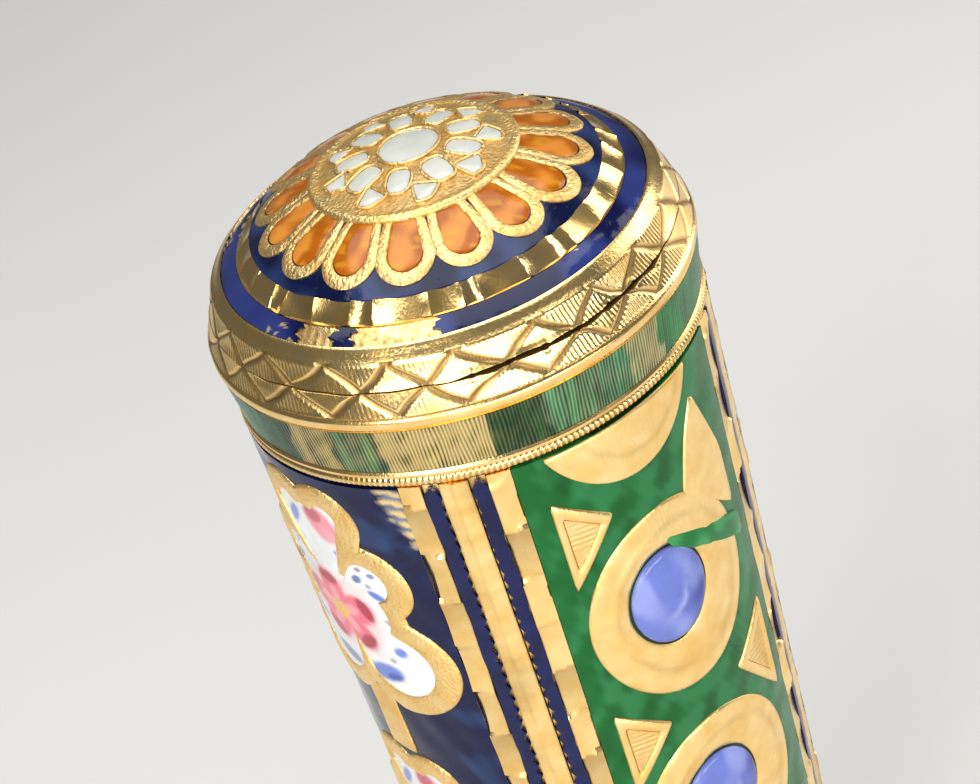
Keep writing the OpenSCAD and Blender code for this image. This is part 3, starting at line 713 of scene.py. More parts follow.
def guilloche(across, height):
    """Phase of the upright cuts: an even pitch, disturbed so that the lines drift and fork."""
    drift = 1.6 * np.sin(across * 2.3 + height) + 1.1 * np.sin(across * 5.1 - 1.7 * height)
    return 2 * math.pi * across / GUILLOCHE_PITCH + drift


def green_wear(points):
    """Colour and bareness of the band at each point, from the list of patches."""
    angles = angle_of(points) + 1.6 * wobble(points * [1, 1, 0.25], 0.9, 21)
    across = np.radians(angle_of(points)) * RIM_R
    streak = 0.5 + 0.5 * np.cos(guilloche(across, points[:, 2]))
    colours = np.tile(np.array(BRIGHT_GREEN) * 0.75, (len(points), 1))
    bare = np.zeros(len(points))
    for start, end, colour, bareness in PATCHES:
        share = smooth(start - 0.5, start + 0.5, angles) * (1 - smooth(end - 0.5, end + 0.5, angles))
        colours += share[:, None] * (np.array(colour) - colours)
        bare += share * (bareness - bare)
    shade = 0.3 + 0.95 * streak + 0.35 * wobble(points * [1, 1, 0.2], 0.5, 23)
    colours = colours * shade[:, None]
    shown = bare * smooth(0.2, 0.9, streak * 0.8 + bare * 0.9 + 0.35 * wobble(points, 0.9, 22))
    return colours, np.clip(shown * 1.2, 0, 1), (1 - streak) * 0.8


def green_band(low_r, low_z, top_r, top_z, node, body, name, worn=True):
    """Thin closed hoop of enamel with upright cuts in its face."""
    face = line((low_r - 0.02, low_z + 0.02), (top_r - 0.02, top_z - 0.02), 12, last=True)
    back = np.array([(top_r - GLASS_T, top_z - 0.005), (low_r - GLASS_T, low_z + 0.005)])
    section = np.vstack([face, back])
    across = np.radians(fine_angles) * low_r
    cuts = 0.008 * np.cos(guilloche(across[:, None], section[None, :, 1]))
    on_face = np.arange(len(section)) < len(face)
    grid = wavered(turned(section, fine_angles, cuts * on_face), 1.5, 12, 0.008, low_r)
    band = make_piece(name, [ring_solid(grid)], GREEN, body, [node])
    colours, bare, grime_and_shade = green_wear(where(band))
    paint(band, np.clip(colours, 0, 1))
    mark(band, "bare", bare * (1.0 if worn else 0.15))
    mark(band, "grime_and_shade", grime_and_shade)


green_band(BAND_LOW_R, BAND_Z, BAND_TOP_R, RIDGE_Z, "green_band_enamel", "cap", "green_band")
foot_band_r = high("foot_band_enamel")[0]
green_band(foot_band_r, low("foot_band_enamel")[2], foot_band_r, high("foot_band_enamel")[2],
           "foot_band_enamel", "foot", "foot_green_band", worn=False)

# %% [markdown]
# The blue ring fills a channel on the slope. A long piece of the glass is gone at the front
# left, where one splinter still sits in the rough channel, so the ring is two curved slabs.

# %% Blue ring
def blue_slab(start, end):
    """Slab of enamel on the slope between two angles, with ragged ends and a soft crown."""
    columns, across = max(12, int(abs(end - start) * 2.4)), 12
    share = np.linspace(0, 1, across)[None, :]
    ragged = 1.1 * np.sin(share * 9) + 0.7 * np.sin(share * 23 + 1)
    run = np.linspace(0, 1, columns)[:, None]
    turn = np.radians(start + ragged + (end - start) * run)
    radius = BLUE_R - 0.05 + (FACET_R + 0.1 - BLUE_R) * share + 0 * turn
    height = BLUE_Z + 0.01 + (FACET_Z - BLUE_Z - 0.02) * share + 0 * turn
    slope = math.atan2(FACET_Z - BLUE_Z, BLUE_R - FACET_R)
    lean = np.stack([math.sin(slope) * np.sin(turn), -math.sin(slope) * np.cos(turn),
                     math.cos(slope) + 0 * turn], -1)
    points = np.stack([radius * np.sin(turn), -radius * np.cos(turn), height], -1)
    swell = 0.03 * np.sin(math.pi * share) - 0.035 + 0.008 * wobble(points, 1.1, 31)
    return slab_solid(points + swell[..., None] * lean, points - GLASS_T * lean)


blue = make_piece("blue_ring", [blue_slab(-38, 281.5), blue_slab(-67, -61.5)], COBALT, "cap",
                  ["blue_ring_enamel"])
spots = where(blue)
light = smooth(0.35, 0.9, 0.5 + 0.5 * wobble(spots, 4.5, 32))[:, None]
paint(blue, between((0.002, 0.004, 0.042), (0.02, 0.032, 0.15), light))
chips = wobble(spots, 0.5, 33) * smooth(0.5, 1, wobble(spots, 3, 34))
mark(blue, "bare", smooth(0.72, 0.85, chips) * 0.6)

# %% [markdown]
# The faceted ring is bright-cut: a flat graver has scooped it into uneven facets that flash as
# the case turns. Each facet is a shallow hollow between two ridges, leaning its own way, and the
# facets that lean one way are painted darker as painted shade.

# %% Faceted ring
FACETS, FACET_ROWS, FACET_DEPTH = 34, 11, 0.13
facet_rng = np.random.default_rng(17)
edges = np.sort((np.arange(FACETS) + facet_rng.uniform(-0.32, 0.32, FACETS)) * 360 / FACETS - 180)
leans = facet_rng.uniform(-1, 1, FACETS)
ring_angles = around(1440)
facet = (np.searchsorted(edges, ring_angles, side="right") - 1) % FACETS
width = (np.roll(edges, -1)[facet] - edges[facet]) % 360
along = ((ring_angles - edges[facet]) % 360) / width * 2 - 1
share = np.linspace(0, 1, FACET_ROWS)[None, :]
face = np.stack([FACET_R - 0.01 + (DOME_R - FACET_R + 0.03) * share[0],
                 FACET_Z + (DOME_Z - FACET_Z) * share[0]], -1)
section = np.vstack([face, [(DOME_R + 0.01, DOME_Z - 0.3), (FACET_R - 0.3, FACET_Z - 0.02)]])
twist = leans[facet][:, None] * along[:, None] * (share - 0.5) * 2.0
scoop = -FACET_DEPTH * (1 - along[:, None] ** 2) * (0.6 + 0.4 * np.sin(math.pi * share)) + 0.09 * twist
scoop += 0.045 * np.sin(math.pi * share) - 0.02
full = np.zeros((len(ring_angles), len(section)))
full[:, :FACET_ROWS] = scoop
grid = turned(section, ring_angles, full * 0.7, full * 0.7)
facets = make_piece("faceted_ring", [ring_solid(grid)], POLISHED, "cap", ["facet_ring"], sharp=14)
# Painted shade: facets that lean one way are darker, more so towards one end; the gold is also darker at the
# ridges between facets.
shade = smooth(-0.1, 1.0, leans[facet][:, None] * (0.6 + 0.5 * along[:, None])) * 0.6
between_facets = 0.25 * smooth(0.9, 1.0, np.abs(along[:, None]))
mark(facets, "grime_and_shade", np.clip(shade + between_facets + 0 * full, 0, 1).ravel())

# %% [markdown]
# Ornament on the dome and the tube is laid out flat and then wrapped on. An island is a
# button whose outline is a distance in every direction from its middle. A band is the closed
# ring between two such outlines. A place function carries flat points and a height to 3-D.

# %% Islands and bands
def on_tube(facing):
    """Place function of a panel: sideways distance becomes an angle, as when a plan is projected."""
    def place(x, z, rise):
        radius = case_r(z)
        turn = math.radians(facing) + np.arcsin(np.clip(x / radius, -0.97, 0.97))
        reach = radius + rise
        return np.stack([reach * np.sin(turn), -reach * np.cos(turn), z + 0 * turn], -1)
    return place


def on_dome(turn=0.0):
    """Place function of the dome: flat plan coordinates, dropped on the sphere along its normal."""
    c, s = math.cos(math.radians(turn)), math.sin(math.radians(turn))

    def place(x, y, rise):
        across, deep = x * c - y * s, x * s + y * c
        up = np.sqrt(SPHERE_R ** 2 - across ** 2 - deep ** 2)
        normal = np.stack([across, deep, up], -1) / SPHERE_R
        return np.array([0, 0, SPHERE_Z]) + (SPHERE_R + np.asarray(rise))[..., None] * normal
    return place


def ellipse(a, b):
    """Outline of an ellipse: distance from its middle in the direction (c, s)."""
    return lambda c, s: 1 / np.sqrt((c / a) ** 2 + (s / b) ** 2)


def cut_shape(limits, sharpness):
    """Outline inside straight sides and ellipses; each limit is (nx, ny, distance) or (a, b).
    The p-norm of the reaches rounds the corners: a higher sharpness rounds them less."""
    def outline(c, s):
        total = 0
        for limit in limits:
            if len(limit) == 3:
                pull = np.maximum((c * limit[0] + s * limit[1]) / limit[2], 0)
            else:
                pull = np.sqrt((c / limit[0]) ** 2 + (s / limit[1]) ** 2)
            total = total + pull ** sharpness
        return total ** (-1 / sharpness)
    return outline


def polygon(corners, sharpness):
    """Outline of a convex polygon round the origin, given its corners anticlockwise."""
    limits = []
    for (x0, y0), (x1, y1) in zip(corners, corners[1:] + corners[:1]):
        nx, ny = y1 - y0, x0 - x1
        length = math.hypot(nx, ny)
        limits.append((nx / length, ny / length, (nx * x0 + ny * y0) / length))
    return cut_shape(limits, sharpness)


def island(place, centre, outline, profile, sides, relief=None, uneven=0.0, seed=0):
    """Closed button: profile rows are (share of the way out, inset, height) from the middle of
    the top to the middle of the bottom."""
    turn = np.linspace(0, 2 * math.pi, sides, endpoint=False)[:, None]
    c, s = np.cos(turn), np.sin(turn)
    reach = outline(c, s)
    share, inset, rise = (np.array(profile)[None, :, k] for k in range(3))
    wave = uneven * (np.sin(turn * 3 + seed) + np.sin(turn * 5 + seed * 2.3) + np.sin(turn * 8 + seed * 4.1))
    distance = share * np.maximum(reach * (1 + wave) - inset, 0.02)
    x, z = centre[0] + distance * c, centre[1] + distance * s
    rise = rise + 0 * x
    if relief is not None:
        rise = rise + relief(x, z, share)
    points = place(x, z, rise)
    middle = [np.array([centre[0]]), np.array([centre[1]])]
    top = place(*middle, np.array([rise[:, 0].mean()]))
    bottom = place(*middle, np.array([rise[:, -1].mean()]))
    return bun_solid(points, top, bottom)


def band(place, centre, inner, outer, profile, sides, relief=None):
    """Closed ring between two outlines: profile rows are (share from inner to outer, height)."""
    turn = np.linspace(0, 2 * math.pi, sides, endpoint=False)[:, None]
    c, s = np.cos(turn), np.sin(turn)
    share, rise = np.array(profile)[None, :, 0], np.array(profile)[None, :, 1]
    distance = inner(c, s) * (1 - share) + outer(c, s) * share
    x, z = centre[0] + distance * c, centre[1] + distance * s
    rise = rise + 0 * x
    if relief is not None:
        rise = rise + relief(x, z, share)
    return ring_solid(place(x, z, rise))


def button(height, crown, bevel, foot, steps=6):
    """Profile of an island: crowned top, rounded edge, upright wall and flat underside."""
    rows = [(k / steps, bevel, height + crown * (1 - (k / steps) ** 2)) for k in range(1, steps + 1)]
    rows += [(1, bevel * 0.35, height - bevel * 0.25), (1, 0, height - bevel), (1, 0, foot), (0.5, 0, foot)]
    return rows


def centred(corners, sharpness):
    """Middle of a polygon's corners and its outline seen from there."""
    middle = np.mean(corners, axis=0)
    return middle, polygon([tuple(corner - middle) for corner in np.array(corners)], sharpness)


print("reach of a 3 by 4 ellipse upwards:", ellipse(3, 4)(0, 1))

# %% [markdown]
# The flower on the dome: a navy field, sixteen petals of amber glass each in a broad gold
# outline that is matted with a punch, and hairline cracks where the glass meets the gold.

# %% Petals and field
PETALS = 16
EDGE_W, PETAL_W = 1.17, 0.7
EDGE_R = DOME_R - 0.3 - EDGE_W
EDGE_PROFILE = [(0, -0.1), (0.0, 0.03), (0.1, 0.05), (0.35, 0.062), (0.6, 0.062), (0.85, 0.05),
                (1, 0.02), (1, -0.1)]
EDGE_GRIME = np.array([1, 0.75, 0.15, 0, 0, 0.1, 0.5, 0.9])  # one for each point of the profile
EDGE_SIDES = 120
petal_rng = np.random.default_rng(5)


def petal(half_width, tip, inner):
    """Outline of a petal about its tip circle's middle: round outside, tapering inwards."""
    length = tip - inner

    def outline(c, s):
        radius = half_width + 0 * c
        narrow = half_width * 0.62
        tilt = (half_width - narrow) / length
        side = half_width / np.maximum(np.abs(c) + tilt * np.maximum(-s, 0), 1e-6)
        end = length / np.maximum(-s, 1e-6)
        return np.where(s > 0, radius, (side ** -14 + end ** -14) ** (-1 / 14))
    return outline


field_angles = around(720)
out = np.linspace(MEDALLION_R - 0.1, DOME_R - 0.015, 10)
section = np.vstack([np.stack([out, dome_height(out, 0.03)], -1),
                     np.stack([out[::-1], dome_height(out[::-1], 0.2)], -1)])
grid = turned(section, field_angles)
grid[..., 2] += 0.008 * wobble(grid, 0.9, 41)
navy_field = make_piece("navy_field", [ring_solid(grid)], COBALT, "cap", ["navy_field_enamel"])
spots = where(navy_field)
light = smooth(0.3, 0.9, 0.5 + 0.5 * wobble(spots, 2.2, 42))[:, None]
paint(navy_field, between((0.002, 0.005, 0.035), (0.018, 0.035, 0.12), light))

edges, pools = [], []
for number in range(PETALS):
    turn = 360 / PETALS * number
    place = on_dome(turn)
    size = 1 + petal_rng.uniform(-0.035, 0.035)
    outer = petal(EDGE_W * size, EDGE_R, MEDALLION_R - 0.3)
    inner = petal(PETAL_W * size, EDGE_R - 0.05, MEDALLION_R - 0.15)
    punch = lambda x, y, share, place=place: 0.012 * wobble(place(x, y, 0 * x), 0.28, 43) * (share > 0.02)
    edges.append(band(place, (0, EDGE_R), inner, outer, EDGE_PROFILE, EDGE_SIDES, punch))
    pools.append(island(place, (0, EDGE_R - 0.05), inner, button(0.018, 0.03, 0.03, -0.12), 72))
petal_edges = make_piece("petal_outlines", edges, MATTED, "cap", ["petal_cloisons"], sharp=50)
spots = where(petal_edges)
share = np.tile(EDGE_GRIME, PETALS * EDGE_SIDES)
crack = smooth(0.1, 0.7, wobble(spots, 0.8, 44)) * share
pock = smooth(0.75, 1.0, wobble(spots, 0.3, 45)) * 0.4
mark(petal_edges, "grime_and_shade", np.clip(crack + pock + share * 0.35, 0, 1))
petal_pools = make_piece("amber_petals", pools, AMBER, "cap", ["petal_enamel"])
spots = where(petal_pools)
cloud = smooth(-0.2, 0.9, wobble(spots, 1.3, 46))[:, None]
blotch = smooth(0.45, 0.95, wobble(spots, 0.55, 47))[:, None]
amber = between((0.36, 0.09, 0.003), (0.62, 0.22, 0.03), cloud)
paint(petal_pools, between(amber, (0.62, 0.3, 0.012), 0.5 * blotch))

# %% [markdown]
# The medallion in the middle is a low disc of gold with a raised rim. Nine white petals and
# nine small cells lie round a white boss, each in a thin gold outline that stands up a little.

# %% Medallion
FLOWER_PETALS, FLOWER_PHASE, BOSS_R = 9, 149.25, 1.15
CLOISON = 0.13
CLOISON_PROFILE = [(0, 0.03), (0.1, 0.15), (0.5, 0.175), (0.9, 0.15), (1, 0.03)]


def flower_cells():
    """Each cell of the flower: its middle in plan, its outline and its turn in degrees."""
    petal_shape = cut_shape([(0.52, 0.78), (1, 0, 0.5), (-1, 0, 0.5), (0, -1, 0.7), (0, 1, 0.66)], 7)
    small_shape = cut_shape([(0.94, -0.34, 0.36), (-0.94, -0.34, 0.36), (0, 1, 0.42), (0.35, -0.94, 0.38)], 7)
    cells = [((0.0, 0.0), ellipse(BOSS_R, BOSS_R * 0.93), 0.0)]
    for number in range(FLOWER_PETALS):
        turn = FLOWER_PHASE + 360 / FLOWER_PETALS * number
        cells += [((0.0, -2.22), petal_shape, turn), ((1.08, -2.9), small_shape, turn)]
    return cells


cell_rng = np.random.default_rng(9)
whites, cloisons = [], []
medal_face = [(k / 22, 0.0, 0.07) for k in range(1, 20)]
medal_profile = medal_face + [(0.9, 0, 0.09), (0.93, 0, 0.17), (0.955, 0, MEDALLION_RISE - 0.01),
                              (0.985, 0, 0.16), (1, 0, 0.08), (1, 0, -0.12), (0.5, 0, -0.2)]
stipple = lambda x, y, share: 0.014 * wobble(np.stack([x, y, 0 * x], -1), 0.3, 51) * (share < 0.97)
disc = island(on_dome(), (0, 0), ellipse(MEDALLION_R, MEDALLION_R), medal_profile, 240, stipple)
for middle, outline, turn in flower_cells():
    place = on_dome(turn)
    size = 1 + cell_rng.uniform(-0.08, 0.05)
    shape = lambda c, s, outline=outline, size=size: outline(c, s) * size
    rim = lambda c, s, shape=shape: shape(c, s) + CLOISON
    whites.append(island(place, middle, shape, button(0.12, 0.05, 0.05, 0.02, 4), 48,
                         uneven=0.012, seed=cell_rng.uniform(0, 6)))
    cloisons.append(band(place, middle, shape, rim, CLOISON_PROFILE, 56))
medallion = make_piece("flower_disc", [disc] + cloisons, MATTED, "cap",
                       ["flower_medallion"], sharp=50)
spots = where(medallion)
from_axis = np.hypot(spots[:, 0], spots[:, 1])
sunk = 1 - smooth(0.05, 0.14, np.linalg.norm(spots - [0, 0, SPHERE_Z], axis=1) - SPHERE_R)
mark(medallion, "grime_and_shade", np.clip(sunk * 0.55 * (from_axis > 1), 0, 1))
make_piece("white_flower", whites, WHITE, "cap", ["flower_enamel"])

# %% [markdown]
# The tube is one sheet of gold. Between the panels run two navy pinstripes, so three gold
# strips are left: the outer two are bright-cut in scoops that catch the light in turn, and
# the middle one has a raised line. The cells for the enamel are sunk into the same surface.

# %% Sleeves
GROUPS = (-135, -45, 45, 135)  # middle of each group of strips, in degrees like the next three
PANEL_HALF, STRIPE_AT, STRIPE_HALF = 31.75, 5.5, 2.0
SCOOP_PITCH = 2.4
CELL = 0.2  # depth of the sunk cells


def sleeve_angles():
    """Angles crowded on the strips and doubled at each cell's edge, over one full turn."""
    step = 0.12
    strip = 45 - PANEL_HALF
    spans = []
    for group in GROUPS:
        breaks = [-strip, -STRIPE_AT - STRIPE_HALF, -STRIPE_AT + STRIPE_HALF,
                  STRIPE_AT - STRIPE_HALF, STRIPE_AT + STRIPE_HALF, strip]
        for k, (a, b) in enumerate(zip(breaks, breaks[1:])):
            spans.append(group + np.linspace(a + step, b - step, 14 if k % 2 == 0 else 5))
        spans.append(group + 45 + np.linspace(-PANEL_HALF + step, PANEL_HALF - step, 14))
    return np.concatenate(spans)


def scoops(angles, heights):
    """Angle from the group's middle, place counted in scoops, and the lean of the scoop there."""
    group = (angles + 180) % 90 - 45
    place = (heights + 0.5 * np.sin(np.radians(angles * 5))) / SCOOP_PITCH
    lean = np.sin(np.floor(place) * 2.4 + np.sign(group) + np.floor(angles / 45))
    return group, place, lean


def strip_relief(angles, heights):
    """Relief of the gold strips: scoops on the outer ones, a raised line on the middle one."""
    group, place, lean = scoops(angles, heights)
    side = np.abs(group)
    number, along = np.floor(place), place % 1 * 2 - 1
    outer = -0.07 * (1 - along ** 2) + 0.1 * (side - 10.4) / 2.9 * lean + 0.035 * along * np.sin(number * 5.1)
    middle = 0.05 * np.exp(-(group / 0.5) ** 2) - 0.06 * (np.abs(group) / 3.5) ** 2
    middle = middle + 0.018 * np.sin(heights * 2.1 + group * 0.6) + 0.008 * np.sin(heights * 9)
    relief = np.where(side < STRIPE_AT, middle, outer)
    in_cell = ((side > STRIPE_AT - STRIPE_HALF) & (side < STRIPE_AT + STRIPE_HALF)) | (side > 45 - PANEL_HALF)
    return np.where(in_cell, -CELL, np.minimum(relief, 0.06) - 0.02)


def sleeve(bottom, top, bore, node, body, name):
    """Closed tube with the strips' relief and the sunk cells outside and a plain bore."""
    angles = sleeve_angles()
    heights = np.linspace(bottom + 0.01, top - 0.01, int((top - bottom) / 0.14))
    outer = np.stack([case_r(heights), heights], -1)
    profile = np.vstack([outer, [(bore, top), (bore, bottom)]])
    relief = np.zeros((len(angles), len(profile)))
    relief[:, :len(heights)] = strip_relief(angles[:, None], heights[None, :])
    grid = wavered(turned(profile, angles, relief), 2.2, 61, 0.008)
    tube = make_piece(name, [ring_solid(grid)], POLISHED, body, [node], sharp=40)
    group, place, lean = scoops(angles[:, None], profile[None, :, 1])
    side = np.abs(group)
    outer_strip = (side > STRIPE_AT) & (relief > 0.02 - CELL)
    # Painted shade: the scoops that lean one way are darker, more so along each scoop. The middle strip has
    # random darker patches, and the gold is darker beside each pinstripe.
    scoop_shade_and_tone = outer_strip * smooth(-0.2, 0.9, lean) * (0.25 + 0.45 * (place % 1)) * 0.75
    scoop_shade_and_tone = scoop_shade_and_tone + (side < STRIPE_AT) * smooth(0.2, 1.0, wobble(grid * [1, 1, 0.4], 2.6, 62)) * 0.35
    from_stripe = np.abs(np.abs(side - STRIPE_AT) - STRIPE_HALF)
    mark(tube, "grime_and_shade", np.clip(scoop_shade_and_tone + smooth(0.5, 0.1, from_stripe) * 0.45, 0, 1).ravel())


sleeve(CAP_LOW, RIM_Z, BORE_R, "cap_sleeve", "cap", "cap_tube")
sleeve(BASE_LOW, BASE_TOP, high("neck_tube")[0] + 0.02, "base_sleeve", "case", "base_tube")

# %% [markdown]
# A pinstripe is a slab of navy glass. The edge beside the middle strip was cut with a liner,
# so it has a row of small teeth, and the top end is rounded just under the rim.

# %% Pinstripes
TOOTH = 0.62
FLOOR = CELL - 0.02  # how far below the gold the underside of the glass lies


def upright(radius, turn, heights):
    """Grid of points at a radius, an angle in radians from the front and a height."""
    return np.stack([radius * np.sin(turn), -radius * np.cos(turn), heights + 0 * turn], -1)


def pinstripe(group, side, bottom, top):
    """Slab between two angles; the inner edge is toothed and the top end is rounded."""
    heights = np.linspace(bottom, top, int((top - bottom) / 0.07))[:, None]
    share = np.linspace(0, 1, 9)[None, :]
    teeth = 0.5 - 0.5 * np.cos(2 * math.pi * heights / TOOTH) ** 3
    fade = 0.5 + 0.5 * np.sin(heights * 0.23 + group)
    narrow = np.sqrt(np.clip(1 - smooth(0.0, 1.0, (heights - top + 0.55) / 0.55) ** 2, 0.02, 1))
    waver = 0.12 * np.sin(heights * 1.7 + group) + 0.06 * np.sin(heights * 5.1)
    inner = STRIPE_AT - (STRIPE_HALF - 0.02 - 1.35 * teeth * (0.35 + 0.65 * fade)) * narrow + waver
    outer = STRIPE_AT + (STRIPE_HALF - 0.05) * narrow + waver
    turn = np.radians(group + side * (inner + (outer - inner) * share))
    swell = -0.035 + 0.02 * np.sin(math.pi * share) + 0.006 * np.sin(heights * 3)
    radius = case_r(heights)
    return slab_solid(upright(radius + swell, turn, heights), upright(radius - FLOOR, turn, heights))


for part, body, bottom, top in (("cap", "cap", CAP_LOW + 0.05, RIM_Z - 0.12),
                                ("base", "case", BASE_LOW + 0.05, BASE_TOP - 0.1)):
    stripes = [pinstripe(group, side, bottom, top) for group in GROUPS for side in (-1, 1)]
    make_piece(f"{part}_pinstripes", stripes, NAVY, body, [f"{part}_stripe_enamel"])

# %% [markdown]
# A panel is one sunken field of glass with gold left standing in it. The field is a slab that
# follows the tube. Its colour is painted on the mesh in flat panel coordinates: sideways
# distance and height, the same two numbers that place the ornament.

# %% Panel fields
RING_A, RING_B, BOSS_A, BOSS_B = 3.9, 4.55, 1.8, 2.2
RING_SHIFT, BOSS_SHIFT = -0.25, (-0.35, 0.35)
RING_PITCH = 11.1
CAP_RINGS = [RIM_Z + 1.8 - RING_PITCH * k for k in range(4)]
BASE_RINGS = [(BASE_LOW + BASE_TOP) / 2 + RING_PITCH * k for k in (1, 0, -1)]
GREEN_SIDES, NAVY_SIDES = (("front", 0), ("back", 180)), (("right", 90), ("left", -90))
PANEL_PARTS = (("cap", "cap", CAP_RINGS, CAP_LOW, RIM_Z), ("base", "case", BASE_RINGS, BASE_LOW, BASE_TOP))


def flat(points, facing):
    """Flat panel coordinates of points on the tube: sideways distance and height."""
    turn = np.radians(angle_of(points) - facing)
    return np.hypot(points[..., 0], points[..., 1]) * np.sin(turn), points[..., 2]


def panel_field(facing, bottom, top, relief=None):
    """Slab of glass in a panel's opening, a little below the gold, with a gentle waver."""
    heights = np.linspace(bottom + 0.04, top - 0.04, int((top - bottom) / 0.17))[:, None]
    turn = np.radians(facing + np.linspace(0.05 - PANEL_HALF, PANEL_HALF - 0.05, 66))[None, :]
    radius = case_r(heights) + 0 * turn
    face = upright(radius, turn, heights)
    drop = -0.03 + 0.014 * wobble(face, 1.3, 71)
    if relief is not None:
        drop = drop + relief(*flat(face, facing))
    return slab_solid(upright(radius + drop, turn, heights), upright(radius - FLOOR, turn, heights))


def green_paint(points, facing, rings):
    """Deep green at the borders, paler in the channels, and darker beside the bosses as painted shade."""
    x, z = flat(points, facing)
    nearest = np.min([np.hypot((x - RING_SHIFT) / RING_A, (z - c) / RING_B) for c in rings], axis=0)
    cloud = wobble(points, 1.5, 72) + 0.5 * wobble(points, 0.6, 73)
    channel = np.exp(-((nearest - 1.1) / 0.12) ** 2) * (1 - smooth(4.1, 4.4, np.abs(x)))
    milk = np.clip(smooth(-0.2, 1.2, 0.7 * cloud - 0.3 + 1.2 * channel), 0, 0.85)[:, None]
    deep = np.array((0.0, 0.09, 0.012)) * (1 + 0.12 * cloud[:, None])
    colours = between(deep, (0.015, 0.15, 0.045), milk)
    # Painted shade: the glass beside each boss is darkened.
    boss_shadow = (1 - smooth(0.58, 0.66, nearest))[:, None]
    return np.clip(colours * (1 - 0.75 * boss_shadow), 0, 1)


for side, facing in GREEN_SIDES:
    for part, body, rings, bottom, top in PANEL_PARTS:
        field = make_piece(f"{part}_green_field_{side}", [panel_field(facing, bottom, top)], GREEN, body,
                           [f"{part}_green_{side}"])
        paint(field, green_paint(where(field), facing, rings))

# %% [markdown]
# The gold ornament of a green panel: rings left standing in the glass, each with a soft step
# half way, rings cut short by the panel's ends, and small triangles with a raised bevel and
# a hatched floor. A cut ring is a solid button, whose outline is an ellipse seen from a point
# that isn't its middle.

# %% Gold in the green panels
TRIANGLE = [(-4.2, 1.6), (-4.12, -2.95), (-2.0, -0.05)]
ROOT = -0.16  # how far down the gold reaches into its cell
BOSS_GAP = 0.12
RING_PROFILE = [(0, ROOT), (0, 0.0), (0.03, 0.04), (0.12, 0.085), (0.3, 0.1), (0.44, 0.095), (0.5, 0.07),
                (0.56, 0.06), (0.7, 0.072), (0.84, 0.066), (0.93, 0.045), (0.98, 0.01), (1, -0.03), (1, ROOT)]
BEVEL_PROFILE = [(0, -0.12), (0, -0.01), (0.15, 0.05), (0.35, 0.09), (0.6, 0.1), (0.8, 0.07), (0.95, 0.02),
                 (1, -0.03), (1, ROOT)]
HATCH_STEP = 0.24


def off_centre(a, b, dx, dy):
    """Reach from the point (dx, dy) inside an ellipse to its edge: the root of a quadratic."""
    def outline(c, s):
        p = (c / a) ** 2 + (s / b) ** 2
        q = dx * c / a ** 2 + dy * s / b ** 2
        r = (dx / a) ** 2 + (dy / b) ** 2 - 1
        return (np.sqrt(q * q - p * r) - q) / p
    return outline


def clipped(outline, side, reach):
    """An outline cut straight across, above (side 1) or below (side -1) at a reach."""
    return lambda c, s: (outline(c, s) ** -60 + (np.maximum(s * side, 1e-6) / reach) ** 60) ** (-1 / 60)


def ring_solids(place, centre, bottom, top, seed):
    """A whole ring between boss and edge, or the button that is left where the panel ends."""
    hand = lambda x, z, share: 0.018 * wobble(np.stack([x, z, 0 * x], -1), 1.1, seed) * (share < 0.96)
    if centre + RING_B > top or centre - RING_B < bottom:
        side = 1 if centre + RING_B > top else -1
        limit = top - 0.08 if side > 0 else bottom + 0.05
        middle = limit - side * (RING_B - abs(centre - limit)) * 0.42
        if abs(centre - limit) < RING_B * 0.6:
            middle = limit - side * 1.0
        shape = clipped(off_centre(RING_A, RING_B, 0, middle - centre), side, abs(limit - middle))
        profile = button(0.05, 0.05, 0.09, ROOT, 10)
        return [island(place, (1.8 * RING_SHIFT, middle), shape, profile, 180, hand)]
    boss = off_centre(BOSS_A + BOSS_GAP, BOSS_B + BOSS_GAP, -BOSS_SHIFT[0], -BOSS_SHIFT[1])
    return [band(place, (RING_SHIFT, centre), boss, ellipse(RING_A, RING_B), RING_PROFILE, 180, hand)]


def triangle_solids(place, height, side, top):
    """Raised bevelled frame and sunken hatched floor of one triangle, left (-1) or right (1)."""
    wide = 1.0 if side < 0 else 1.12
    corners = [(side * -(x * wide + 4.3 * (wide - 1)), min(height + z * wide, top - 0.12))
               for x, z in TRIANGLE]
    middle, outer = centred(corners if side < 0 else corners[::-1], 18)
    inner = lambda c, s: outer(c, s) * 0.56
    lines = lambda x, z: 0.5 + 0.5 * np.cos(2 * math.pi * (z + 0.1 * x) / HATCH_STEP)
    hatch = lambda x, z, share: -0.022 * lines(x, z) * (share < 0.97)
    return [band(place, middle, inner, outer, BEVEL_PROFILE, 96),
            island(place, middle, inner, button(0.02, 0.0, 0.01, -0.12, 16), 72, hatch)]


def tall_corner(place):
    """The tall corner of gold that joins the first ring to the right border of the front."""
    corners = [(2.95, -1.5), (1.95, -3.0), (1.5, -4.2), (1.2, -5.2), (4.05, -8.0), (4.1, -5.0)]
    middle, shape = centred([(x, RIM_Z + z) for x, z in corners], 14)
    return island(place, middle, shape, button(0.055, 0.05, 0.09, ROOT, 10), 110)


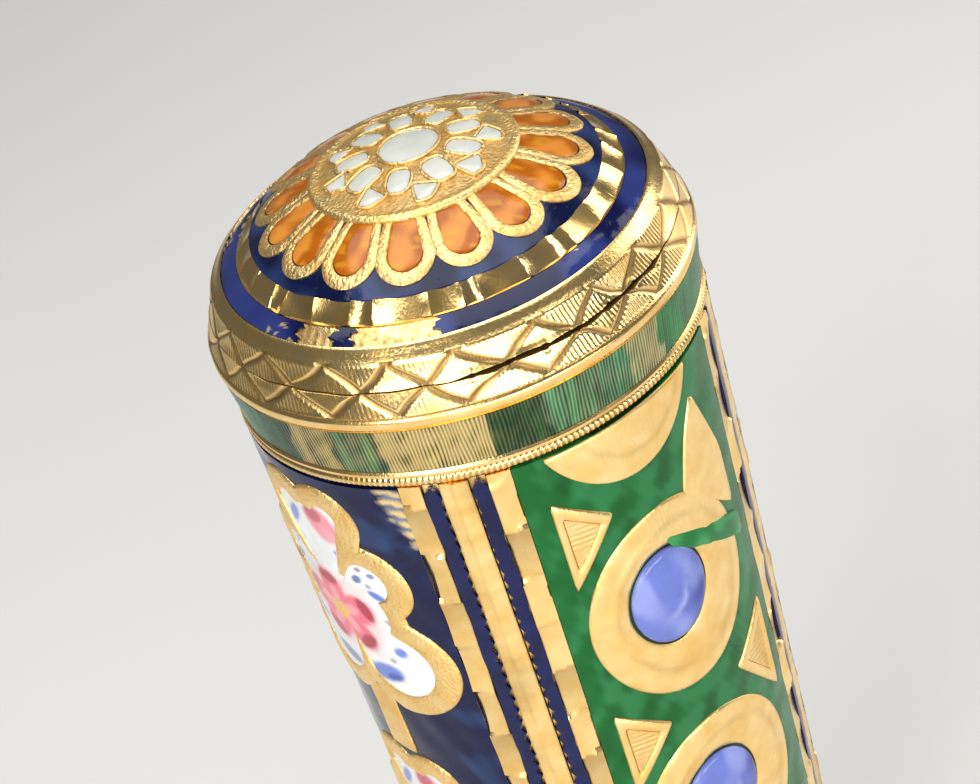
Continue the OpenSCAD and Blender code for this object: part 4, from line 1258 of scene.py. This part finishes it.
for side, facing in GREEN_SIDES:
    place = on_tube(facing)
    for part, body, rings, bottom, top in PANEL_PARTS:
        solids = []
        for number, centre in enumerate(rings):
            if centre + RING_B > bottom + 0.3 and centre - RING_B < top - 0.3:
                solids += ring_solids(place, centre, bottom, top, 80 + number)
            height = centre - RING_PITCH / 2
            if bottom < height - 1.5 and height < top:
                solids += triangle_solids(place, height, -1, top)
                if side == "front" and part == "cap" and number == 0:
                    solids.append(tall_corner(place))
                else:
                    solids += triangle_solids(place, height, 1, top)
        gold_work = make_piece(f"{part}_ring_work_{side}", solids, SATIN, body,
                               [f"{part}_rings_{side}"], sharp=50)
        spots = where(gold_work)
        x, z = flat(spots, facing)
        rise = np.hypot(spots[:, 0], spots[:, 1]) - case_r(z)
        step = np.min([np.abs(np.hypot(x / RING_A, (z - c) / RING_B) - 0.78) for c in rings], axis=0)
        low_edge = smooth(0.03, -0.05, rise) * 0.8
        mark(gold_work, "grime_and_shade", np.clip(low_edge + 0.22 * smooth(0.05, 0.0, step), 0, 1))

# %% [markdown]
# Each ring holds a boss of periwinkle glass, fired high so that it stands up like a cabochon.
# Its blue is painted pale towards the upper left and deepens to cobalt towards the lower right
# and the edge, a painted shade. It has milky clouds, and a pale crescent is painted on as a
# highlight. At the front one streak of green glass has run across a ring into its boss.

# %% Bosses and the green streak
STREAK = [(4.1, -0.3), (4.1, 0.9), (-0.5, 3.2), (0.0, 2.2)]


def nearest_of(centres, z):
    """For each height, the nearest of the centres."""
    return np.array(centres)[np.argmin([np.abs(z - centre) for centre in centres], axis=0)]


def boss_solid(place, centre):
    """Half of an ellipsoid with its edge let in below the gold."""
    turn = np.radians(np.linspace(6, 88, 13))
    rows = [(math.sin(t), 0.0, 0.02 + 0.42 * math.cos(t)) for t in turn]
    middle = (RING_SHIFT + BOSS_SHIFT[0], centre + BOSS_SHIFT[1])
    return island(place, middle, ellipse(BOSS_A, BOSS_B), rows + [(1, 0, -0.14), (0.5, 0, -0.14)], 80)


for side, facing in GREEN_SIDES:
    place = on_tube(facing)
    for part, body, centres in (("cap", "cap", CAP_RINGS[1:3]), ("base", "case", BASE_RINGS[1:2])):
        bosses = make_piece(f"{part}_bosses_{side}", [boss_solid(place, centre) for centre in centres],
                            PERIWINKLE, body, [f"{part}_cabochons_{side}"])
        spots = where(bosses)
        x, z = flat(spots, facing)
        x = (x - RING_SHIFT - BOSS_SHIFT[0]) / BOSS_A
        z = (z - BOSS_SHIFT[1] - nearest_of(centres, z)) / BOSS_B
        # Painted shade: deeper towards one side and the edge. Painted highlight: the pale crescent.
        deep = smooth(0.15, 1.25, 0.5 * x - 0.45 * z + 0.45 * np.hypot(x, z) + 0.3 * wobble(spots, 1.4, 91))
        crescent_highlight = smooth(0.14, 0.0, np.abs(np.hypot(x + 0.25, z - 0.2) - 0.5)) * smooth(-0.2, 0.5, x - z)
        milk = 0.25 * smooth(-0.2, 0.9, wobble(spots, 1.6, 92)) * (1 - deep) + 0.55 * crescent_highlight
        colours = between((0.12, 0.16, 0.48), (0.012, 0.02, 0.24), deep[:, None])
        paint(bosses, between(colours, (0.5, 0.55, 0.85), milk[:, None]))

middle, shape = centred([(x, z + CAP_RINGS[1]) for x, z in STREAK], 9)
run = island(on_tube(0), middle, shape, button(0.11, 0.03, 0.06, -0.05, 8), 90, uneven=0.03, seed=2)
streak = make_piece("green_streak", [run], GREEN, "cap", ())
tone = smooth(-0.4, 0.8, wobble(where(streak), 1.2, 93))[:, None]
paint(streak, between((0.0, 0.13, 0.02), (0.03, 0.24, 0.07), tone))

# %% [markdown]
# The navy panels are the darkest glass on the case, with paler clouds where it thinned in the
# kiln. At the upper right of the left panel a piece has chipped off, and the hatching that
# once held the glass lies bare.

# %% Navy panels
CHIP_LOW, CHIP_TOP = RIM_Z - 3.2, RIM_Z - 0.15


def chip_share(x, z):
    """How far the chip reaches: 1 on bare metal, falling over a ragged edge; panel coordinates."""
    depth = (z - CHIP_LOW) / (CHIP_TOP - CHIP_LOW)
    ragged = 0.16 * np.sin(z * 9) + 0.1 * np.sin(z * 23 + 1)
    edge = 4.85 - 0.65 * smooth(0, 1, depth) + ragged * 0.6
    return smooth(-0.12, 0.2, x - edge) * smooth(0, 0.18, depth) * (1 - smooth(0.96, 1.02, depth))


def chip_lines(x, z):
    """Slanting engraved lines under the chipped glass, 1 in a cut and 0 between two."""
    return 0.5 + 0.5 * np.cos(2 * math.pi * (z + 0.35 * x) / 0.5)


def chip_relief(x, z):
    """The chip lies lower than the glass and shows the engraved lines."""
    return -chip_share(x, z) * (0.05 + 0.03 * chip_lines(x, z))


for side, facing in NAVY_SIDES:
    for part, body, _, bottom, top in PANEL_PARTS:
        chipped = side == "left" and part == "cap"
        glass = panel_field(facing, bottom, top, chip_relief if chipped else None)
        field = make_piece(f"{part}_navy_field_{side}", [glass], COBALT, body,
                           [f"{part}_navy_{side}"])
        spots = where(field)
        x, z = flat(spots, facing)
        cloud = smooth(0.25, 1.0, wobble(spots, 2.4, 95) + 0.45 * wobble(spots, 0.8, 96))
        share = chip_share(x, z) if chipped else 0 * x
        halo = smooth(-1.4, 0.1, x - 4.5) * smooth(CHIP_LOW - 2.5, CHIP_LOW + 0.5, z) * chipped
        pale = np.clip(cloud * 0.8 + halo * 0.5 * smooth(-0.5, 0.7, wobble(spots, 0.7, 97)), 0, 1)[:, None]
        colours = between((0.001, 0.002, 0.035), (0.008, 0.028, 0.1), pale)
        paint(field, between(colours, (0.2, 0.26, 0.34), (share * 0.6)[:, None]))
        lines = chip_lines(x, z)
        mark(field, "bare", share * smooth(0.7, 0.3, lines))
        mark(field, "grime_and_shade", share * lines * 0.4)

# %% [markdown]
# A painted plaque is a white enamel picture in a lobed gold frame: three pairs of lobes, each
# a circle, joined down the middle. Seen from its middle the outline is the farthest circle met
# in each direction. A short stem of gold joins one frame to the next.

# %% Frames
LOBES = ((1.1, 1.9, 1.7), (2.1, 4.9, 2.0), (1.9, 9.3, 2.8))  # across, down from the top, radius
MIDDLE_DEPTH, FRAME_W, PLAQUE_H, PLAQUE_PITCH, STEM_W = 6.5, 1.05, 12.1, 14.85, 1.6
FRAME_PROFILE = [(0, -0.12), (0, 0.04), (0.12, 0.085), (0.35, 0.105), (0.65, 0.1), (0.85, 0.07), (0.96, 0.02),
                 (1, -0.03), (1, ROOT)]
CAP_PLAQUES = [RIM_Z - 0.3, RIM_Z - 0.3 - PLAQUE_PITCH]
BASE_PLAQUES = [(BASE_LOW + BASE_TOP + PLAQUE_H) / 2]


def lobed(inset):
    """Outline of the lobes, made smaller all round by an inset."""
    circles = [(side * x, MIDDLE_DEPTH - depth, r - inset) for x, depth, r in LOBES for side in (-1, 1)]
    circles += [(side * 0.7, -0.2, 2.65 - 0.8 * inset) for side in (-1, 1)]  # the waist
    circles += [(0, 4.1, 1.7 - 0.75 * inset)]  # between the upper two lobes

    def outline(c, s):
        best = 0 * c + 1.0
        for x, y, r in circles:
            along, off = x * c + y * s, x * s - y * c
            half = np.sqrt(np.maximum(r * r - off * off, 0))
            best = np.maximum(best, np.where(np.abs(off) < r, along + half, 0))
        return best
    return outline


def frame_solids(place, top, stem_end, seed):
    """Lobed band of gold round a plaque, and the stem below it."""
    on_top = lambda share: (share > 0.03) * (share < 0.97)
    hand = lambda x, z, share: 0.015 * wobble(np.stack([x, z, 0 * x], -1), 0.8, seed) * on_top(share)
    ring = band(place, (0, top - MIDDLE_DEPTH), lobed(FRAME_W), lobed(0), FRAME_PROFILE, 288, hand)
    start = top - PLAQUE_H + 0.9
    half = (start - stem_end) / 2
    shape = cut_shape([(1, 0, STEM_W / 2), (-1, 0, STEM_W / 2), (0, 1, half), (0, -1, half)], 24)
    stem = island(place, (0, (start + stem_end) / 2), shape, button(0.04, 0.03, 0.07, ROOT, 8), 64, hand)
    return [ring, stem]


print("plaque tops on the cap:", [round(float(top), 2) for top in CAP_PLAQUES], "mm")

# %% [markdown]
# The plaque's picture is a spray on white: one rose, with small leaves, buds and specks about
# it. Each brush stroke is a soft turned ellipse of one colour, laid over the ones before.

# %% Painted plaques
PINK, RED, ROSE = (0.72, 0.1, 0.17), (0.3, 0.005, 0.02), (0.8, 0.36, 0.38)
YELLOW, PLUM = (0.72, 0.42, 0.05), (0.2, 0.06, 0.16)
LEAF_BLUE, INK_BLUE = (0.07, 0.14, 0.55), (0.03, 0.07, 0.33)
ROSE_X, ROSE_Y = -0.25, -7.1
DABS = [  # middle across, middle down, half length, half width, turn, colour, strength
    (ROSE_X, ROSE_Y, 2.3, 2.1, 0, ROSE, 0.35), (0.8, -2.2, 1.0, 0.75, -50, PINK, 0.75),
    (0.5, -1.8, 0.5, 0.4, 0, RED, 0.6),
    (1.15, -2.7, 0.4, 0.3, -50, ROSE, 0.7), (-0.9, -2.3, 0.6, 0.28, 60, LEAF_BLUE, 0.8),
    (1.4, -3.75, 0.45, 0.2, -25, LEAF_BLUE, 0.85), (1.7, -4.75, 0.26, 0.2, 30, INK_BLUE, 0.85),
    (2.45, -5.5, 0.42, 0.2, -30, LEAF_BLUE, 0.9), (2.5, -4.4, 0.2, 0.14, 0, INK_BLUE, 0.75),
    (1.95, -4.2, 0.16, 0.12, 0, PLUM, 0.8), (2.6, -7.0, 0.35, 0.16, -35, PLUM, 0.55),
    (2.2, -5.0, 0.14, 0.12, 0, PLUM, 0.6),
    (1.2, -10.0, 0.95, 0.5, 12, LEAF_BLUE, 0.9), (1.6, -10.15, 0.45, 0.2, 12, INK_BLUE, 0.8),
    (2.5, -8.5, 0.32, 0.26, 20, LEAF_BLUE, 0.9), (3.05, -7.5, 0.28, 0.16, -40, INK_BLUE, 0.7),
    (1.9, -9.1, 0.18, 0.14, 0, PLUM, 0.6), (-1.4, -3.9, 0.4, 0.2, 30, LEAF_BLUE, 0.85),
    (-2.3, -5.2, 0.42, 0.2, 30, LEAF_BLUE, 0.9), (-2.6, -8.4, 0.5, 0.28, -40, LEAF_BLUE, 0.85),
    (-1.3, -10.1, 0.8, 0.4, -15, INK_BLUE, 0.75), (-2.0, -4.3, 0.15, 0.12, 0, PLUM, 0.7),
]


def flower_paint(x, y):
    """Brush strokes on white: soft turned ellipses, then five rose petals and a yellow eye."""
    colours = np.tile(np.array((0.72, 0.73, 0.73)), (len(x), 1))

    def dab(cx, cy, rx, ry, turn, colour, strength):
        share = spot(x, y, cx, cy, rx, ry, turn, 0.24) * strength
        colours[:] = between(colours, colour, share[:, None])

    for cx, cy, rx, ry, turn, colour, strength in DABS:
        dab(cx, cy, rx, ry, turn, colour, strength)
    for number in range(5):
        turn = 72 * number + 20
        c, s = math.cos(math.radians(turn)), math.sin(math.radians(turn))
        dab(ROSE_X + 1.3 * c, ROSE_Y + 1.25 * s, 0.9, 0.78, turn, PINK, 0.92)
        dab(ROSE_X + 1.78 * c, ROSE_Y + 1.7 * s, 0.32, 0.62, turn, RED, 0.8)
        dab(ROSE_X + 0.85 * c, ROSE_Y + 0.82 * s, 0.42, 0.3, turn, ROSE, 0.75)
    dab(ROSE_X, ROSE_Y, 0.5, 0.46, 0, YELLOW, 0.95)
    return colours


for side, facing in NAVY_SIDES:
    place = on_tube(facing)
    for part, body, tops, bottom in (("cap", "cap", CAP_PLAQUES, CAP_LOW),
                                     ("base", "case", BASE_PLAQUES, BASE_LOW)):
        solids, faces = [], []
        for number, top in enumerate(tops):
            stem_end = max(bottom + 0.06, top - PLAQUE_PITCH - 0.1)
            solids += frame_solids(place, top, stem_end, 100 + number)
            faces.append(island(place, (0, top - MIDDLE_DEPTH), lobed(FRAME_W - 0.03),
                                button(0.03, 0.06, 0.04, -0.12, 42), 224))
        frames = make_piece(f"{part}_lobed_frames_{side}", solids, MATTED, body,
                            [f"{part}_frames_{side}"], sharp=50)
        spots = where(frames)
        rise = np.hypot(spots[:, 0], spots[:, 1]) - case_r(spots[:, 2])
        mark(frames, "grime_and_shade", smooth(0.04, -0.06, rise) * 0.7)
        plaques = make_piece(f"{part}_painted_plaques_{side}", faces, PAINTED, body,
                             [f"{part}_plaques_{side}"])
        x, z = flat(where(plaques), facing)
        top = nearest_of(np.array(tops) - MIDDLE_DEPTH, z) + MIDDLE_DEPTH
        paint(plaques, flower_paint(x if side == "left" else -x, z - top))

# %% [markdown]
# The beads, the foot and the mechanism come from CAD unchanged and only get finishes. The
# turned and polished parts are the same gold; the working parts are bright or dark steel; the
# lining, the snap ring and the bearing are ivory plastic, slightly waxy.

# %% Finishes for the CAD pieces
def plain_finish(name, first, second, rough, metallic, scratches, stipple, depth, soft=0.0):
    """Two close tones by mottle, roughness by mottle, and a fine handled surface."""
    material, tree, shader, place = start_material(name)
    marks = handwork(tree, place, scratches, stipple)
    tone = spread(tree, marks.outputs["Mottle"], 0.3, 0.7, 0.0, 1.0)
    tree.links.new(mix_colour(tree, tone, first, second), shader.inputs["Base Color"])
    tree.links.new(spread(tree, marks.outputs["Mottle"], 0.3, 0.7, *rough), shader.inputs["Roughness"])
    tree.links.new(bump(tree, marks.outputs["Height"], depth), shader.inputs["Normal"])
    shader.inputs["Metallic"].default_value = metallic
    shader.inputs["Subsurface Weight"].default_value = soft
    shader.inputs["Subsurface Radius"].default_value = (0.001, 0.0008, 0.0006)
    return material


STEEL = plain_finish("bright_steel", (0.62, 0.63, 0.64), (0.5, 0.51, 0.53), (0.2, 0.32),
                     1.0, 0.8, 0.1, 0.00001)
DARK_STEEL = plain_finish("dark_steel", (0.16, 0.16, 0.17), (0.11, 0.11, 0.12), (0.3, 0.42),
                          1.0, 0.6, 0.2, 0.00001)
IVORY = plain_finish("ivory_plastic", (0.76, 0.71, 0.6), (0.72, 0.66, 0.54), (0.32, 0.42),
                     0.0, 0.3, 0.3, 0.000008, 0.1)
WAX = plain_finish("lipstick_wax", (0.36, 0.014, 0.03), (0.3, 0.01, 0.022), (0.28, 0.4),
                   0.0, 0.35, 0.15, 0.00001, 0.12)
FINISHES = {
    "cap_bead": POLISHED, "base_bead": POLISHED, "neck_tube": POLISHED, "mouth_ring": POLISHED,
    "twist_foot": POLISHED, "foot_disc": SATIN, "cap_liner": IVORY, "snap_ring": IVORY, "bearing_ring": IVORY,
    "guide_tube": STEEL, "spiral_sleeve": STEEL, "carrier_cup": POLISHED, "carrier_pins": DARK_STEEL,
    "retaining_clip": DARK_STEEL,
}
for node, finish in FINISHES.items():
    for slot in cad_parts[node].material_slots:
        slot.material = finish
print("finished", len(FINISHES), "CAD pieces")

# %% [markdown]
# The lipstick is a waxy bullet: a round shaft that tapers to a slanted, softly rounded face.
# It is built from the middle of its tip outwards and down, and each ring of points is the
# lower of two heights, the bullet's dome and the slanting cut, blended where they meet.

# %% Lipstick
LIPSTICK_R = high("lipstick")[0]
SHAFT_R = LIPSTICK_R - 0.25
LIPSTICK_LOW, TIP_Z = low("lipstick")[2], high("lipstick")[2]
CUP_TOP = high("carrier_cup")[2]
SLANT, BLEND = 0.95, 2.2  # slope of the cut face, and how crisply it meets the dome


def round_axis(radius, turn, heights):
    """Grid of points at a radius, an angle in radians from +X and a height."""
    return np.stack([radius * np.cos(turn) + 0 * heights, radius * np.sin(turn) + 0 * heights,
                     heights + 0 * turn], -1)


def tip_height(x, y):
    """Soft minimum of an ellipsoid and a slanted plane falling towards +X."""
    away = np.clip(np.hypot(x, y) / SHAFT_R, 0, 1)
    dome = TIP_Z - 1.6 * SHAFT_R * (1 - np.sqrt(1 - 0.985 * away ** 2))
    plane = TIP_Z - 0.5 - SLANT * (x + SHAFT_R * 0.35)
    return -np.log(np.exp(-BLEND * dome) + np.exp(-BLEND * plane)) / BLEND


turn = np.linspace(0, 2 * math.pi, 120, endpoint=False)[:, None]
radius = SHAFT_R * np.sin(np.linspace(0.03, math.pi / 2, 34))[None, :]
x, y = radius * np.cos(turn), radius * np.sin(turn)
tip = np.stack([x, y, tip_height(x, y)], -1)
shares = np.array([0.96, 0.8, 0.5, 0.2, 0.0])[None, :]
shaft_low = CUP_TOP - 0.4
shaft = round_axis(SHAFT_R, turn, shaft_low + (tip[:, -1:, 2] - shaft_low) * shares)
seat = np.array([(LIPSTICK_R, CUP_TOP - 0.45), (LIPSTICK_R, LIPSTICK_LOW), (LIPSTICK_R * 0.5, LIPSTICK_LOW)])
seat = round_axis(seat[None, :, 0], turn, seat[None, :, 1])
crown = np.array([0, 0, tip_height(0.0, 0.0)])
bullet = bun_solid(np.hstack([tip, shaft, seat]), crown, np.array([0, 0, LIPSTICK_LOW]))
make_piece("lipstick_bullet", [bullet], WAX, "carrier", ["lipstick"])

# %% [markdown]
# The case stands on a plain pale surface in soft light. Five large lamps make broad, even
# reflections: a key from the upper left, two low strips in front, a weaker one from the right
# and one overhead. The room itself is dim, so that polished gold shows dark and light beside
# each other. The Standard view keeps the enamels' colours as deep as they are set.

# %% Floor and light
CENTRE = Vector((0, 0, 0.045))
WARM, WHITE_LIGHT = (1.0, 0.99, 0.96), (1, 1, 1)


def lamp(name, place, size, power, colour):
    """Rectangular area lamp at a place in metres, facing the middle of the case."""
    data = bpy.data.lights.new(name, "AREA")
    data.shape = "RECTANGLE"
    data.size, data.size_y = size
    data.energy, data.color = power, colour
    light = bpy.data.objects.new(name, data)
    light.location = place
    light.rotation_euler = (CENTRE - Vector(place)).to_track_quat("-Z", "Y").to_euler()
    bpy.context.scene.collection.objects.link(light)


FLOOR_HALF = 2.0


def make_floor():
    """A wide pale sheet with a faint mottle, far larger than the view."""
    mesh = bpy.data.meshes.new("floor")
    far = FLOOR_HALF
    mesh.from_pydata([(-far, -far, 0), (far, -far, 0), (far, far, 0), (-far, far, 0)], [], [(0, 1, 2, 3)])
    material, tree, shader, place = start_material("pale_floor")
    tone = add(tree, "ShaderNodeTexNoise", {"Vector": place, "Scale": 14.0, "Detail": 3.0})
    tree.links.new(mix_colour(tree, tone.outputs[0], (0.66, 0.65, 0.63), (0.72, 0.71, 0.69)),
                   shader.inputs["Base Color"])
    tree.links.new(spread(tree, tone.outputs[0], 0.0, 1.0, 0.55, 0.7), shader.inputs["Roughness"])
    mesh.materials.append(material)
    floor = bpy.data.objects.new("floor", mesh)
    bpy.context.scene.collection.objects.link(floor)


make_floor()
lamp("key_lamp", (-0.24, -0.12, 0.2), (0.16, 0.24), 0.74, WARM)
lamp("front_lamp", (-0.02, -0.32, 0.11), (0.26, 0.08), 0.48, WARM)
lamp("low_lamp", (-0.17, -0.28, 0.085), (0.26, 0.1), 0.4, WARM)
lamp("side_lamp", (0.28, -0.05, 0.13), (0.14, 0.3), 0.45, WHITE_LIGHT)
lamp("top_lamp", (0.03, 0.04, 0.36), (0.34, 0.24), 0.85, WHITE_LIGHT)
room = bpy.data.worlds.new("room")
room.use_nodes = True
background = room.node_tree.nodes["Background"]
background.inputs["Color"].default_value = (0.65, 0.65, 0.66, 1)
background.inputs["Strength"].default_value = 0.22
bpy.context.scene.world = room
bpy.context.scene.view_settings.view_transform = "Standard"
print("lamps:", len(bpy.data.lights))

# %% [markdown]
# The camera looks steeply down at the head from the front left, close to it and tipped to
# one side. Its place is worked out from a turn, a height angle, a roll and a distance.

# %% Camera
TURN, CLIMB, ROLL = math.radians(-30.75), math.radians(34.043), math.radians(-18.197)
DISTANCE, ASIDE, UPWARD = 103.097, 0.7708, -2.2877  # from the middle of the rim, in millimetres
back = Vector((math.sin(TURN) * math.cos(CLIMB), -math.cos(TURN) * math.cos(CLIMB), math.sin(CLIMB)))
right = Vector((math.cos(TURN), math.sin(TURN), 0))
up = back.cross(right)
tipped_right = math.cos(ROLL) * right + math.sin(ROLL) * up
tipped_up = back.cross(tipped_right)
viewpoint = Vector((0, 0, RIM_Z)) + DISTANCE * back + ASIDE * tipped_right + UPWARD * tipped_up
lens = bpy.data.cameras.new("camera")
lens.lens, lens.sensor_width, lens.sensor_fit = 95.51, 36.0, "HORIZONTAL"
lens.clip_start, lens.clip_end = 0.005, 20
camera = bpy.data.objects.new("camera", lens)
axes = Matrix((tipped_right, tipped_up, back)).transposed()
camera.matrix_world = Matrix.LocRotScale(viewpoint * MM, axes.to_quaternion(), None)
bpy.context.scene.collection.objects.link(camera)
bpy.context.scene.camera = camera
print("camera at", [round(v, 4) for v in camera.matrix_world.translation])
